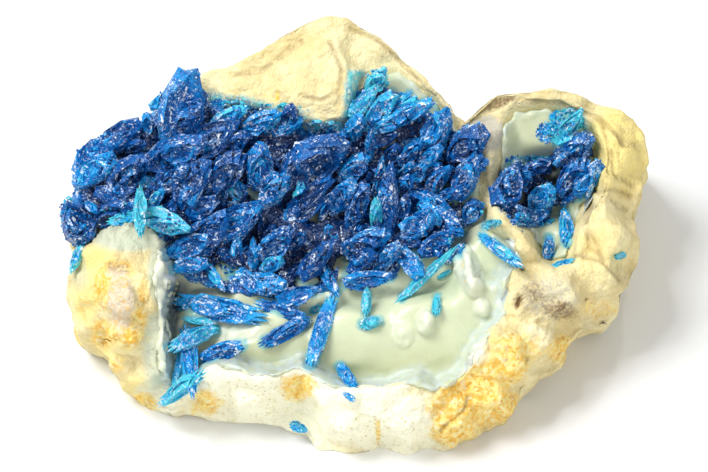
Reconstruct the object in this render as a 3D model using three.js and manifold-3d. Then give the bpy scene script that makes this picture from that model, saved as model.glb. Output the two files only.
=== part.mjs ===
// Veszelyite specimen: deep blue blade crystals in an open cavity of a small pale-yellow rock.
// The rock is one broken piece. A pale green botryoidal lining, a different mineral, coats
// the cavity and a second, smaller pocket. The crystals stand on the lining and on the rock.
//
// Units are millimetres, +Z is up. The specimen rests on a ground base at Z = 0.
// Shapes are surveyed on a sloping plane, looked at square on from the front and above:
// its column runs to +X and its row runs down the slope, both on a fine square grid. The
// third direction of the survey, "out", points from that plane up towards the front.

import * as THREE from 'three';
import { mergeVertices } from 'three/addons/utils/BufferGeometryUtils.js';
import Module from 'manifold-3d';

const wasm = await Module();
wasm.setup();

// Driving dimensions
const GRID = 0.041; // side of one survey square
const SLOPE = THREE.MathUtils.degToRad(47); // angle from the horizontal of the survey's line of sight
const GRID_CENTRE = [355, 236]; // survey column and row of the origin
const ORIGIN_SHIFT_Y = 3.9; // puts the origin under the middle of the specimen
const FOOT_GAP = 0.08; // clearance between a crystal's foot and a lining, along the line of sight
const GROUND_DEPTH = 2.5; // depth of the shape that stops the crystals' feet over a lining
const BASE_DEPTH = 1.5; // rock below Z = 0 that the ground base takes away
const BACK_LIMIT_Y = 4.4; // how far back the foot of the rock reaches, in survey space
const LINING_THICKNESS = 0.45;
const POCKET_LINING_THICKNESS = 0.35;
const FIT_GAP = 0.05; // clearance between a lining or a crystal's foot and the rock
const LINING_EDGE = 0.55; // thickness of a lining at its edge, of its full thickness
const SEAT_OPENING = 4; // height of the cut above a lining, so that its seat is open
const CRUST_TOP = 0.65; // height of the fine-grained druse that joins the crowded crystals
const CRUST_EDGE = 0.6; // height of that druse at its edge, of its full height
const MAIN_CRUST_UNDERSIDE = 0.25;
const POCKET_CRUST_UNDERSIDE = -0.6; // below the ground, so the ground trims it
const WELD = 0.0001; // corners closer than this are one
const EDGE_SOFTNESS = 6; // half the width of a cavity edge, in survey squares
const SURVEY_REACH = 16; // smoothing radius between spot heights, in survey squares
const LOBE_STEEPNESS = 0.7; // below 1 a lobe is blunter than a dome
const CURVE_STEPS = 3; // steps between two corners of a rounded outline
const SHEET_CROWDING = 0.8; // below 1 the rings of a sheet are closer together at its edge
const SHEET_SHOULDER = 0.8; // where a sheet starts to thin out, of the way to its edge

// Faint waves of the ground: height, and radians for each survey square
const WAVE_RISE = 0.07;
const WAVE_ACROSS = 0.21;
const WAVE_DOWN = 0.19;
const WAVE_SWAY = 0.17;
const WAVE_SWING = 1.3;
const WAVE_SHIFT = 0.7;

// The rock's ball, which is laid over the ground as far as the rim angle and then closes down
const ROCK_MIDDLE = [355, 240];
const ROCK_DETAIL = 9;
const RIM_ANGLE = THREE.MathUtils.degToRad(112);
const WALL_SHARE = 0.62; // share of the part behind the rim that stands as wall
const FOOT_NARROWING = 0.96;
const FOOT_MIDDLE_Y = -4;
const BACK_BULGE = 1.3;
const WALL_SAG = 0.25;
const WALL_WAVE = 0.12;
const WALL_WAVES = 7;
const GROUND_SIZE = 60; // of the block that takes away what lies below Z = 0
const GROUND_HEIGHT = 10;

// Outline of the bare rock, in survey columns and rows
const ROCK_OUTLINE = [
  [72, 258], [68, 290], [72, 321], [85, 343], [100, 348], [112, 374], [131, 399], [149, 407],
  [184, 409], [218, 420], [252, 424], [285, 427], [303, 433], [317, 448], [345, 451], [387, 453],
  [431, 455], [467, 438], [500, 422], [518, 401], [532, 380], [563, 363], [573, 338], [613, 319],
  [624, 293], [640, 262], [637, 223], [643, 188], [650, 150], [629, 117], [596, 101], [565, 90],
  [528, 91], [495, 96], [480, 114], [468, 124], [446, 102], [424, 77], [401, 56], [377, 35],
  [352, 21], [325, 15], [285, 33], [259, 50], [232, 64], [207, 72], [190, 84], [165, 104],
  [140, 128], [112, 145], [92, 165], [80, 190], [74, 215], [71, 235],
];

// Edge of the main cavity. On the left the cavity is broken open, so the edge runs outside the rock.
const CAVITY_EDGE = [
  [199, 368], [215, 360], [235, 360], [250, 368], [276, 369], [300, 360], [325, 376], [350, 385],
  [390, 384], [405, 377], [418, 373], [434, 384], [460, 372], [470, 350], [482, 330], [497, 318],
  [503, 300], [497, 280], [512, 262], [508, 240], [492, 228], [487, 205], [488, 180], [482, 138],
  [468, 128], [448, 108], [428, 88], [410, 72], [392, 62], [370, 66], [356, 78], [352, 95],
  [347, 118], [322, 126], [290, 116], [255, 106], [228, 99], [206, 90], [190, 72], [150, 50],
  [60, 90], [10, 200], [30, 262], [68, 256], [90, 244], [97, 238], [110, 228], [128, 222],
  [150, 228], [160, 238], [168, 262], [174, 285], [167, 310], [172, 335], [170, 360], [174, 385],
  [186, 390],
];

// Edge of the smaller pocket on the right
const POCKET_EDGE = [
  [503, 118], [515, 107], [540, 102], [565, 104], [585, 115], [598, 135], [603, 160], [600, 185],
  [592, 200], [585, 215], [578, 235], [572, 262], [556, 268], [540, 260], [528, 232], [512, 222],
  [500, 205], [494, 180], [496, 150],
];

// Spot heights of the rims, walls and broken flanks: column, row, millimetres out
const OUTER_SPOTS = [
  [225, 68, 5.3], [285, 35, 5.45], [325, 18, 5.3], [366, 30, 5.25], [401, 58, 4.95],
  [446, 104, 5.35], [240, 90, 5.9], [300, 80, 6.3], [330, 60, 6.1], [340, 110, 6.3],
  [260, 60, 5.5], [385, 45, 5.1], [200, 80, 5.2], [478, 122, 5.1], [490, 150, 6.2],
  [510, 92, 5.15], [565, 90, 5.2], [610, 107, 4.9], [645, 135, 4.4], [650, 160, 4.2],
  [620, 150, 6.0], [600, 190, 7.2], [636, 204, 5.1], [612, 240, 7.8], [640, 262, 5.7],
  [600, 280, 8.3], [613, 319, 6.0], [560, 300, 9.2], [530, 260, 8.6], [520, 300, 9.2],
  [572, 338, 7.1], [540, 345, 9.4], [510, 360, 10.1], [500, 400, 9.9], [563, 363, 6.6],
  [518, 401, 7.6], [500, 422, 7.8], [455, 420, 10.0], [467, 438, 8.4], [431, 455, 8.1],
  [340, 385, 10.6], [340, 420, 10.3], [340, 451, 8.3], [387, 453, 8.2], [400, 420, 10.4],
  [420, 395, 10.4], [380, 390, 10.6], [317, 448, 8.2], [301, 430, 8.3], [260, 370, 10.5],
  [250, 400, 9.7], [252, 424, 7.6], [285, 427, 7.8], [218, 420, 7.5], [205, 385, 10.0],
  [184, 409, 7.2], [149, 407, 7.0], [131, 399, 6.8], [112, 374, 6.6], [100, 348, 6.4],
  [85, 343, 6.4], [72, 321, 6.4], [68, 290, 6.4], [72, 258, 6.6], [120, 250, 9.8],
  [122, 300, 10.9], [120, 340, 10.7], [150, 290, 10.3], [90, 290, 9.2], [90, 325, 8.6],
  [140, 380, 9.4], [165, 360, 9.6], [128, 228, 9.2], [160, 245, 9.1], [172, 285, 9.3],
  [170, 330, 9.6], [178, 395, 8.6], [95, 250, 8.6], [115, 365, 8.4],
];

// Spot heights of the cavity and the pocket
const INNER_SPOTS = [
  [100, 180, 5.2], [150, 130, 5.0], [190, 100, 5.1], [75, 220, 5.4], [128, 215, 6.2],
  [170, 225, 6.4], [150, 180, 5.4], [80, 160, 4.6], [120, 130, 4.6], [70, 250, 5.6],
  [250, 130, 5.4], [250, 180, 5.25], [250, 230, 5.5], [250, 270, 6.4], [250, 300, 7.5],
  [270, 325, 8.5], [270, 350, 8.6], [270, 368, 8.3], [350, 150, 5.0], [350, 200, 5.3],
  [350, 250, 6.1], [350, 290, 7.4], [350, 325, 8.75], [350, 355, 8.7], [350, 382, 8.3],
  [345, 122, 5.5], [300, 120, 5.5], [225, 100, 5.5], [365, 80, 5.2], [400, 75, 5.0],
  [430, 130, 4.8], [430, 180, 4.8], [450, 220, 5.7], [430, 270, 6.9], [430, 320, 8.65],
  [430, 350, 8.6], [440, 376, 8.4], [480, 300, 8.6], [490, 250, 7.4], [480, 200, 6.0],
  [480, 150, 5.6], [300, 200, 5.2], [300, 250, 5.9], [300, 290, 7.2], [190, 320, 7.7],
  [185, 350, 7.9], [188, 385, 8.3], [200, 290, 6.7], [200, 170, 5.4], [200, 240, 6.0],
  [180, 300, 6.9], [545, 130, 4.6], [550, 170, 3.7], [550, 200, 4.1], [550, 240, 6.0],
  [580, 140, 4.6], [575, 190, 5.1], [510, 190, 5.1], [570, 255, 7.2],
];

// Single lobes of the lining and the rock: column, row, half width, half length, turn, rise
const LOBES = [
  [468, 270, 13, 30, -20, 1.0],
  [426, 322, 10, 15, 0, 0.55],
  [404, 335, 12, 14, 0, 0.2],
  [481, 307, 9, 10, 0, 0.35],
  [521, 247, 17, 16, 0, 0.5],
  [476, 358, 9, 19, 25, 0.45],
  [205, 305, 26, 18, -20, 0.35],
  [612, 245, 22, 42, 0, 0.6],
  [172, 286, 7, 10, 0, 0.4],
  [162, 345, 12, 14, 0, 0.35],
  [160, 375, 12, 13, 0, 0.3],
];

// Regions that the lining and the druse cover
const LINING_REGION = [
  [151, 300], [153, 262], [162, 225], [185, 165], [215, 122], [255, 112], [290, 121], [322, 131],
  [348, 126], [362, 100], [378, 72], [398, 64], [420, 82], [440, 102], [464, 130], [477, 145],
  [483, 170], [484, 200], [492, 228], [515, 240], [524, 262], [505, 288], [509, 312], [492, 338],
  [478, 355], [460, 382], [434, 393], [405, 386], [350, 394], [325, 386], [300, 370], [276, 379],
  [250, 377], [215, 369], [199, 377], [186, 396], [168, 392], [154, 362], [158, 330],
];
const POCKET_LINING_REGION = [
  [504, 122], [516, 110], [540, 105], [565, 108], [583, 118], [595, 138], [600, 162], [594, 192],
  [582, 215], [576, 240], [568, 260], [550, 262], [536, 246], [526, 226], [508, 208], [499, 180],
  [499, 150],
];
const MAIN_CRUST_REGION = [
  [66, 222], [72, 195], [84, 168], [100, 152], [116, 136], [140, 122], [165, 102], [184, 86],
  [204, 96], [222, 108], [255, 116], [290, 124], [322, 134], [346, 128], [356, 100], [366, 76],
  [382, 74], [398, 92], [420, 106], [446, 114], [462, 134], [478, 142], [480, 168], [477, 195],
  [478, 222], [455, 236], [428, 252], [406, 262], [396, 282], [345, 290], [320, 296], [285, 303],
  [245, 298], [212, 290], [178, 276], [164, 246], [142, 210], [110, 208], [90, 228], [72, 232],
];
const POCKET_CRUST_REGION = [
  [500, 172], [515, 162], [540, 160], [556, 148], [566, 128], [582, 132], [594, 146], [598, 170],
  [592, 192], [580, 202], [558, 208], [545, 228], [512, 228], [496, 210], [494, 190],
];

// Crystals: column and row of the foot and its rise above the ground, the same for the tip,
// the width, and the turn of the blade about its own length in degrees.
// The first list is the crowded crystals that have grown together into one body.
const MAIN_CRYSTALS = [
  [174, 152, 0.45, 187, 72, 1.5, 40, 20], [150, 106, 0.45, 182, 90, 0.9, 14, 0],
  [172, 132, 0.5, 200, 102, 1.5, 28, -30], [138, 122, 0.5, 100, 150, 0.8, 22, 25],
  [108, 140, 0.45, 76, 172, 0.7, 24, 20], [74, 184, 0.5, 112, 158, 1.3, 22, -20],
  [112, 184, 0.6, 147, 158, 1.5, 24, 30], [86, 242, 0.45, 64, 204, 0.9, 26, 15],
  [98, 192, 0.5, 142, 206, 1.4, 20, -35], [94, 224, 0.45, 126, 204, 1.2, 18, 10],
  [148, 164, 0.6, 202, 140, 1.7, 26, 30], [154, 188, 0.5, 197, 168, 1.5, 22, -20],
  [143, 216, 0.7, 188, 229, 1.7, 20, 40], [178, 204, 0.45, 206, 160, 1.4, 24, -30],
  [204, 190, 0.45, 238, 158, 1.4, 26, 25], [195, 152, 0.45, 236, 120, 1.3, 28, -15],
  [214, 152, 0.45, 246, 134, 1.2, 18, 30], [188, 252, 0.45, 226, 214, 1.4, 28, 15],
  [218, 236, 0.45, 260, 204, 1.5, 26, -25], [188, 216, 0.45, 216, 199, 1.3, 18, 0],
  [258, 186, 0.45, 260, 146, 1.7, 24, 20], [262, 204, 0.45, 287, 175, 1.4, 18, -30],
  [286, 184, 0.45, 340, 140, 1.9, 42, 35], [285, 216, 0.45, 331, 179, 1.4, 14, 0],
  [341, 180, 0.45, 365, 156, 1.5, 18, 20], [331, 212, 0.45, 352, 183, 1.6, 18, -20],
  [349, 226, 0.45, 365, 185, 1.4, 16, 30], [383, 236, 0.45, 391, 165, 1.5, 20, -25],
  [395, 197, 0.45, 411, 177, 1.5, 14, 0], [410, 200, 0.45, 456, 229, 1.6, 30, 35],
  [403, 220, 0.45, 406, 195, 1.5, 14, 20], [404, 239, 0.45, 432, 213, 1.7, 20, -20],
  [350, 254, 0.45, 386, 233, 1.7, 24, 15], [376, 268, 0.45, 398, 244, 1.5, 15, -25],
  [420, 254, 0.45, 451, 235, 1.3, 18, 20], [301, 277, 0.45, 334, 241, 1.4, 16, -30],
  [263, 258, 0.45, 288, 231, 1.5, 22, 20], [261, 270, 0.45, 282, 260, 1.2, 13, 0],
  [169, 254, 0.45, 207, 239, 1.4, 18, 20], [174, 269, 0.45, 207, 263, 1.0, 14, -15],
  [232, 280, 0.45, 284, 286, 1.1, 18, 25], [279, 302, 0.45, 317, 289, 1.1, 16, -20],
  [214, 126, 0.45, 246, 107, 0.9, 16, 0], [244, 130, 0.45, 276, 111, 0.9, 16, 20],
  [274, 132, 0.45, 301, 119, 0.8, 14, -20], [346, 283, 0.45, 390, 276, 1.3, 15, 30],
  [349, 273, 0.45, 374, 251, 1.4, 16, -20], [403, 248, 0.45, 419, 277, 1.2, 16, 20],
  [370, 91, 0.45, 385, 67, 0.9, 14, 20], [351, 117, 0.45, 376, 87, 1.1, 14, -20],
  [360, 130, 0.45, 393, 94, 1.3, 16, 20], [372, 131, 0.45, 431, 101, 1.6, 15, 25],
  [429, 144, 0.45, 448, 110, 1.7, 22, -20], [450, 158, 0.45, 482, 131, 1.5, 26, 20],
  [458, 197, 0.45, 477, 156, 1.4, 20, -20], [402, 162, 0.45, 421, 141, 1.3, 14, 20],
  [419, 168, 0.45, 441, 147, 1.4, 14, -20], [429, 188, 0.45, 451, 167, 1.3, 14, 20],
];

const POCKET_CRYSTALS = [
  [500, 206, 0.45, 516, 167, 1.2, 24, 20], [521, 186, 0.45, 530, 171, 1.4, 10, 0],
  [533, 208, 0.6, 553, 188, 1.4, 20, -20], [524, 172, 0.5, 551, 161, 1.1, 12, 20],
  [513, 223, 0.45, 547, 213, 1.2, 12, 0], [562, 194, 0.45, 585, 164, 1.3, 20, 20],
  [578, 194, 0.45, 601, 164, 0.9, 18, -20], [560, 142, 0.5, 583, 109, 0.6, 14, 0],
  [560, 162, 0.45, 590, 137, 1.1, 22, 20],
];

const CORNER_CRYSTALS = [
  [214, 329, 0.2, 173, 347, 0.9, 16, 20], [187, 333, 0.4, 193, 389, 1.0, 16, -20],
  [188, 338, 0.55, 176, 388, 0.7, 12, 10], [201, 374, 0.7, 164, 401, 0.8, 14, 0],
];

// Crystals that stand on their own, each with its colour
const SINGLE_CRYSTALS = [
  [184, 303, 0.2, 254, 317, 0.35, 19, 10, 'azure'], [261, 304, 0.2, 303, 317, 0.4, 13, 0, 'deep'],
  [265, 342, 0.15, 305, 322, 0.25, 15, 10, 'deep'], [331, 302, 0.7, 311, 362, 0.75, 16, 20, 'azure'],
  [362, 325, 0.1, 379, 320, 0.2, 12, 0, 'cyan'], [366, 312, 0.2, 367, 290, 0.9, 9, 20, 'cyan'],
  [402, 298, 0.1, 451, 252, 0.9, 9, 10, 'cyan'],
  [436, 313, 0.2, 437, 296, 0.3, 8, 0, 'cyan'], [340, 366, 0.1, 354, 386, 0.2, 12, 0, 'azure'],
  [202, 358, 0.6, 241, 345, 0.7, 16, 20, 'deep'],
  [292, 424, 0.0, 306, 430, 0.1, 9, 0, 'azure'], [483, 237, 0.3, 517, 263, 0.7, 12, 20, 'azure'],
  [448, 262, 0.0, 462, 246, 0.4, 9, 0, 'deep'],
  [567, 242, 0.1, 566, 212, 0.9, 13, 20, 'azure'], [549, 259, 0.1, 550, 238, 0.8, 11, 0, 'deep'],
  [553, 267, 0.1, 572, 260, 0.5, 7, 0, 'teal'], [312, 311, 0.1, 322, 308, 0.2, 8, 0, 'teal'],
  [186, 319, 0.1, 213, 323, 0.2, 7, 0, 'teal'], [484, 226, 0.0, 500, 222, 0.6, 8, 0, 'cyan'],
];

const BLADE_THICKNESS = 0.5; // of the blade's width
const CROWDED_SIDES = 4;
const CROWDED_WIDENING = 1.25; // makes up for the narrower faces of a four-sided blade
const SINGLE_SIDES = 6;
const BLADE_TIERS = 3;
const BLADE_SHOULDER = 0.315; // from the blade's middle to where it starts to taper, of its length
const POLE = 0.99; // above this height a corner of a unit ball is its pole

const rock = new THREE.MeshStandardMaterial({ color: 0xefe2a6, roughness: 0.95, metalness: 0 });
const lining = new THREE.MeshStandardMaterial({ color: 0xccd2ad, roughness: 0.4, metalness: 0 });
const blues = {
  deep: new THREE.MeshStandardMaterial({ color: 0x0f2f80, roughness: 0.25, metalness: 0 }),
  azure: new THREE.MeshStandardMaterial({ color: 0x0a6cc8, roughness: 0.25, metalness: 0 }),
  cyan: new THREE.MeshStandardMaterial({ color: 0x1fa8cf, roughness: 0.25, metalness: 0 }),
  teal: new THREE.MeshStandardMaterial({ color: 0x0b7f8c, roughness: 0.25, metalness: 0 }),
};

// Survey space and world space
const sightDown = Math.sin(SLOPE);
const sightAcross = Math.cos(SLOPE);
const outward = new THREE.Vector3(0, -sightAcross, sightDown);

function toWorld(column, row, out) {
  const across = (column - GRID_CENTRE[0]) * GRID;
  const up = (GRID_CENTRE[1] - row) * GRID;
  return new THREE.Vector3(
    across,
    up * sightDown - out * sightAcross,
    up * sightAcross + out * sightDown,
  );
}

function smoothStep(low, high, value) {
  const t = THREE.MathUtils.clamp((value - low) / (high - low), 0, 1);
  return t * t * (3 - 2 * t);
}

// Distance from a closed outline, positive inside it
function insideDistance(outline, x, y) {
  let nearest = Infinity;
  let inside = false;
  for (let i = 0, j = outline.length - 1; i < outline.length; j = i, i += 1) {
    const [ax, ay] = outline[j];
    const [bx, by] = outline[i];
    const along = ((x - ax) * (bx - ax) + (y - ay) * (by - ay)) / ((bx - ax) ** 2 + (by - ay) ** 2);
    const t = THREE.MathUtils.clamp(along, 0, 1);
    nearest = Math.min(nearest, Math.hypot(x - ax - t * (bx - ax), y - ay - t * (by - ay)));
    if ((ay > y) !== (by > y) && x < ax + ((bx - ax) * (y - ay)) / (by - ay)) inside = !inside;
  }
  return inside ? nearest : -nearest;
}

// Height between spot heights, nearer ones counting far more
function betweenSpots(spots, x, y) {
  let total = 0;
  let weights = 0;
  for (const [spotX, spotY, height] of spots) {
    const weight = 1 / ((x - spotX) ** 2 + (y - spotY) ** 2 + SURVEY_REACH ** 2) ** 3;
    total += weight * height;
    weights += weight;
  }
  return total / weights;
}

function lobeRise(x, y) {
  let rise = 0;
  for (const [lobeX, lobeY, halfWidth, halfLength, turn, height] of LOBES) {
    const angle = THREE.MathUtils.degToRad(turn);
    const dx = x - lobeX;
    const dy = y - lobeY;
    const across = (dx * Math.cos(angle) + dy * Math.sin(angle)) / halfWidth;
    const along = (dy * Math.cos(angle) - dx * Math.sin(angle)) / halfLength;
    rise += height * Math.max(0, 1 - across ** 2 - along ** 2) ** LOBE_STEEPNESS;
  }
  return rise;
}

// How far the ground, rock or lining, stands out at a survey point
function groundOut(x, y) {
  const cavity = smoothStep(-EDGE_SOFTNESS, EDGE_SOFTNESS, insideDistance(CAVITY_EDGE, x, y));
  const pocket = smoothStep(-EDGE_SOFTNESS, EDGE_SOFTNESS, insideDistance(POCKET_EDGE, x, y));
  const hollow = Math.max(cavity, pocket);
  const outer = betweenSpots(OUTER_SPOTS, x, y);
  const inner = betweenSpots(INNER_SPOTS, x, y);
  const sway = WAVE_SWING * Math.sin(y * WAVE_SWAY);
  const wave = WAVE_RISE * Math.sin(x * WAVE_ACROSS + sway) * Math.sin(y * WAVE_DOWN + WAVE_SHIFT);
  return outer + (inner - outer) * hollow + lobeRise(x, y) + wave;
}

// Distance from a region's middle to its edge in one direction
function reachAt(outline, middle, angle) {
  const dx = Math.cos(angle);
  const dy = -Math.sin(angle);
  let reach = 0;
  for (let i = 0, j = outline.length - 1; i < outline.length; j = i, i += 1) {
    const ax = outline[j][0] - middle[0];
    const ay = outline[j][1] - middle[1];
    const ex = outline[i][0] - outline[j][0];
    const ey = outline[i][1] - outline[j][1];
    const cross = dx * ey - dy * ex;
    if (cross === 0) continue;
    const distance = (ax * ey - ay * ex) / cross;
    const side = (ax * dy - ay * dx) / cross;
    if (side >= 0 && side <= 1) reach = Math.max(reach, distance);
  }
  return reach;
}

function rounded(outline) {
  const corners = outline.map(([x, y]) => new THREE.Vector3(x, y, 0));
  const curve = new THREE.CatmullRomCurve3(corners, true, 'centripetal');
  const points = curve.getPoints(outline.length * CURVE_STEPS).slice(0, -1);
  return points.map((point) => [point.x, point.y]);
}

// Solids and geometries
function toSolid(geometry) {
  const bare = geometry.clone();
  bare.deleteAttribute('normal');
  bare.deleteAttribute('uv');
  const merged = mergeVertices(bare, WELD);
  const position = merged.getAttribute('position');
  const triangles = [];
  const index = merged.getIndex().array;
  for (let i = 0; i < index.length; i += 3) {
    const [a, b, c] = index.slice(i, i + 3);
    if (a !== b && b !== c && c !== a) triangles.push(a, b, c);
  }
  return new wasm.Manifold(new wasm.Mesh({
    numProp: 3,
    vertProperties: new Float32Array(position.array),
    triVerts: new Uint32Array(triangles),
  }));
}

function moved(geometry, direction, distance) {
  return geometry.clone().translate(
    direction.x * distance, direction.y * distance, direction.z * distance,
  );
}

function volumeOf(faces) {
  return faces.reduce((volume, [a, b, c]) => volume + a.dot(b.clone().cross(c)) / 6, 0);
}

// The largest closed body of a solid. It leaves out slivers that a cut has freed, faces that
// have collapsed and pairs of faces that lie back to back.
function largestBody(solid) {
  const mesh = solid.getMesh();
  const corners = new Map();
  const keys = [];
  for (let i = 0; i < mesh.vertProperties.length; i += mesh.numProp) {
    const corner = new THREE.Vector3().fromArray(mesh.vertProperties, i);
    corner.multiplyScalar(1 / WELD).round().multiplyScalar(WELD);
    const key = corner.toArray().map((value) => value.toFixed(4)).join(' ');
    if (!corners.has(key)) corners.set(key, corner);
    keys.push(key);
  }
  const faces = new Map();
  for (let i = 0; i < mesh.triVerts.length; i += 3) {
    const face = [0, 1, 2].map((k) => keys[mesh.triVerts[i + k]]);
    if (new Set(face).size < 3) continue;
    const name = [...face].sort().join(' ');
    if (!faces.delete(name)) faces.set(name, face);
  }
  const owner = new Map();
  const find = (key) => {
    let root = key;
    while (owner.has(root)) root = owner.get(root);
    return root;
  };
  for (const [a, b, c] of faces.values()) {
    for (const other of [b, c]) {
      const [from, to] = [find(a), find(other)];
      if (from !== to) owner.set(from, to);
    }
  }
  const bodies = new Map();
  for (const face of faces.values()) {
    const root = find(face[0]);
    if (!bodies.has(root)) bodies.set(root, []);
    bodies.get(root).push(face.map((key) => corners.get(key)));
  }
  const ranked = [...bodies.values()].sort((a, b) => volumeOf(b) - volumeOf(a));
  return new THREE.BufferGeometry().setFromPoints(ranked[0].flat());
}

// Bare rock, before the lining's seat is cut: an evenly divided ball whose front part is laid
// over the surveyed ground and whose back part closes down to the foot.
function rockGeometry() {
  const outline = rounded(ROCK_OUTLINE);
  const ball = new THREE.IcosahedronGeometry(1, ROCK_DETAIL);
  const position = ball.getAttribute('position');
  const footMiddle = new THREE.Vector3(0, FOOT_MIDDLE_Y, -BASE_DEPTH);
  for (let i = 0; i < position.count; i += 1) {
    const direction = new THREE.Vector3().fromBufferAttribute(position, i).normalize();
    const fromFront = Math.acos(THREE.MathUtils.clamp(direction.z, -1, 1));
    const angle = Math.atan2(direction.y, direction.x);
    const reach = reachAt(outline, ROCK_MIDDLE, angle);
    const spread = Math.min(1, Math.sin(fromFront / 2) / Math.sin(RIM_ANGLE / 2));
    const column = ROCK_MIDDLE[0] + spread * reach * Math.cos(angle);
    const row = ROCK_MIDDLE[1] - spread * reach * Math.sin(angle);
    const point = toWorld(column, row, groundOut(column, row));
    if (fromFront > RIM_ANGLE) {
      const rim = point.clone();
      const fall = (rim.z + BASE_DEPTH) / sightDown;
      const foot = rim.clone().addScaledVector(outward, -fall);
      foot.y = Math.min(foot.y, Math.max(BACK_LIMIT_Y, rim.y));
      foot.x *= FOOT_NARROWING;
      const share = (fromFront - RIM_ANGLE) / (Math.PI - RIM_ANGLE);
      const down = Math.min(1, share / WALL_SHARE);
      const bulge = Math.sin(Math.PI * down);
      point.lerpVectors(rim, foot, down);
      point.y += BACK_BULGE * bulge * Math.max(0, Math.sin(angle));
      point.z -= WALL_SAG * bulge;
      point.x += WALL_WAVE * Math.sin(WALL_WAVES * angle) * bulge;
      if (share > WALL_SHARE) point.lerp(footMiddle, (share - WALL_SHARE) / (1 - WALL_SHARE));
    }
    position.setXYZ(i, point.x, point.y, point.z);
  }
  return ball;
}

// A sheet over a star-shaped region: its upper and lower faces are given as heights from the ground
function sheetGeometry({ region, middle, segments, rings }, upper, lower, growth = 0) {
  const outline = rounded(region);
  const sheet = new THREE.SphereGeometry(1, segments, 2 * rings + 1);
  sheet.rotateX(Math.PI / 2);
  const position = sheet.getAttribute('position');
  for (let i = 0; i < position.count; i += 1) {
    const ring = Math.floor(i / (segments + 1));
    const onFront = ring <= rings;
    const share = (onFront ? ring : 2 * rings + 1 - ring) / rings;
    const spread = share ** SHEET_CROWDING;
    const angle = share > 0 ? Math.atan2(position.getY(i), position.getX(i)) : 0;
    const reach = spread * reachAt(outline, middle, angle);
    const column = middle[0] + reach * Math.cos(angle);
    const row = middle[1] - reach * Math.sin(angle);
    const fullness = smoothStep(1, SHEET_SHOULDER, spread);
    const rise = onFront ? upper(fullness) : lower(fullness);
    const wider = share === 1 ? growth : 0;
    const point = toWorld(
      column + wider * Math.cos(angle),
      row - wider * Math.sin(angle),
      groundOut(column, row) + rise,
    );
    position.setXYZ(i, point.x, point.y, point.z);
  }
  return sheet;
}

function liningDepth(thickness, fullness) {
  return thickness * (LINING_EDGE + (1 - LINING_EDGE) * fullness);
}

function liningSheet(layout, thickness) {
  return sheetGeometry(layout, () => 0, (fullness) => -liningDepth(thickness, fullness));
}

// The hollow that a lining sits in, open towards the front
function liningSeat(layout, thickness) {
  const floor = (fullness) => -FIT_GAP - liningDepth(thickness, fullness);
  return sheetGeometry(layout, () => SEAT_OPENING, floor, FIT_GAP / GRID);
}

// What stops a crystal's foot over a lining: the lining, a gap higher and deep enough to meet the rock
function liningGround(layout) {
  return sheetGeometry(layout, () => FOOT_GAP, () => -GROUND_DEPTH, 2 * FIT_GAP / GRID);
}

function crustSheet(layout, underside) {
  const top = (fullness) => CRUST_TOP * (CRUST_EDGE + (1 - CRUST_EDGE) * fullness);
  return sheetGeometry(layout, top, () => underside);
}

// One blade: a flattened prism that tapers to a point at both ends
function bladeGeometry([footX, footY, footRise, tipX, tipY, tipRise, width, turn], sides) {
  const foot = toWorld(footX, footY, groundOut(footX, footY) + footRise);
  const tip = toWorld(tipX, tipY, groundOut(tipX, tipY) + tipRise);
  const length = foot.distanceTo(tip);
  const halfWidth = 0.5 * width * GRID * (sides === CROWDED_SIDES ? CROWDED_WIDENING : 1);
  const blade = new THREE.SphereGeometry(1, sides, BLADE_TIERS);
  const position = blade.getAttribute('position');
  for (let i = 0; i < position.count; i += 1) {
    const height = position.getY(i);
    const onAxis = Math.abs(height) > POLE;
    const level = Math.sign(height) * (onAxis ? 0.5 : BLADE_SHOULDER);
    const spread = onAxis ? 0 : 1 / Math.sin(Math.PI / BLADE_TIERS);
    position.setXYZ(
      i,
      position.getX(i) * spread * halfWidth,
      level * length,
      position.getZ(i) * spread * halfWidth * BLADE_THICKNESS,
    );
  }
  const lengthwise = new THREE.Vector3().subVectors(tip, foot).normalize();
  const facing = outward.clone().addScaledVector(lengthwise, -outward.dot(lengthwise)).normalize();
  facing.applyAxisAngle(lengthwise, THREE.MathUtils.degToRad(turn));
  const sideways = new THREE.Vector3().crossVectors(lengthwise, facing);
  const placing = new THREE.Matrix4().makeBasis(sideways, lengthwise, facing);
  placing.setPosition(new THREE.Vector3().addVectors(foot, tip).multiplyScalar(0.5));
  return blade.applyMatrix4(placing);
}

function crystalBody(crystals, crust, ground, sides = CROWDED_SIDES) {
  let body = crust;
  for (const crystal of crystals) {
    const blade = toSolid(bladeGeometry(crystal, sides));
    body = body ? body.add(blade) : blade;
  }
  return largestBody(body.subtract(ground));
}

// Assembly
const group = new THREE.Group();

function addPart(name, geometry, material) {
  geometry.computeVertexNormals();
  const mesh = new THREE.Mesh(geometry, material);
  mesh.name = name;
  mesh.position.set(0, ORIGIN_SHIFT_Y, 0);
  group.add(mesh);
}

// Each sheet's region, its middle, and how finely it is divided round and outwards
const cavityLayout = { region: LINING_REGION, middle: [325, 245], segments: 40, rings: 6 };
const pocketLayout = { region: POCKET_LINING_REGION, middle: [548, 180], segments: 22, rings: 4 };
const mainCrustLayout = { region: MAIN_CRUST_REGION, middle: [280, 190], segments: 26, rings: 4 };
const pocketCrustLayout = { region: POCKET_CRUST_REGION, middle: [545, 190], segments: 18, rings: 3 };

const bareRock = rockGeometry();
const cavityLining = liningSheet(cavityLayout, LINING_THICKNESS);
const cavitySeat = liningSeat(cavityLayout, LINING_THICKNESS);
const pocketLining = liningSheet(pocketLayout, POCKET_LINING_THICKNESS);
const pocketSeat = liningSeat(pocketLayout, POCKET_LINING_THICKNESS);

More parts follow.
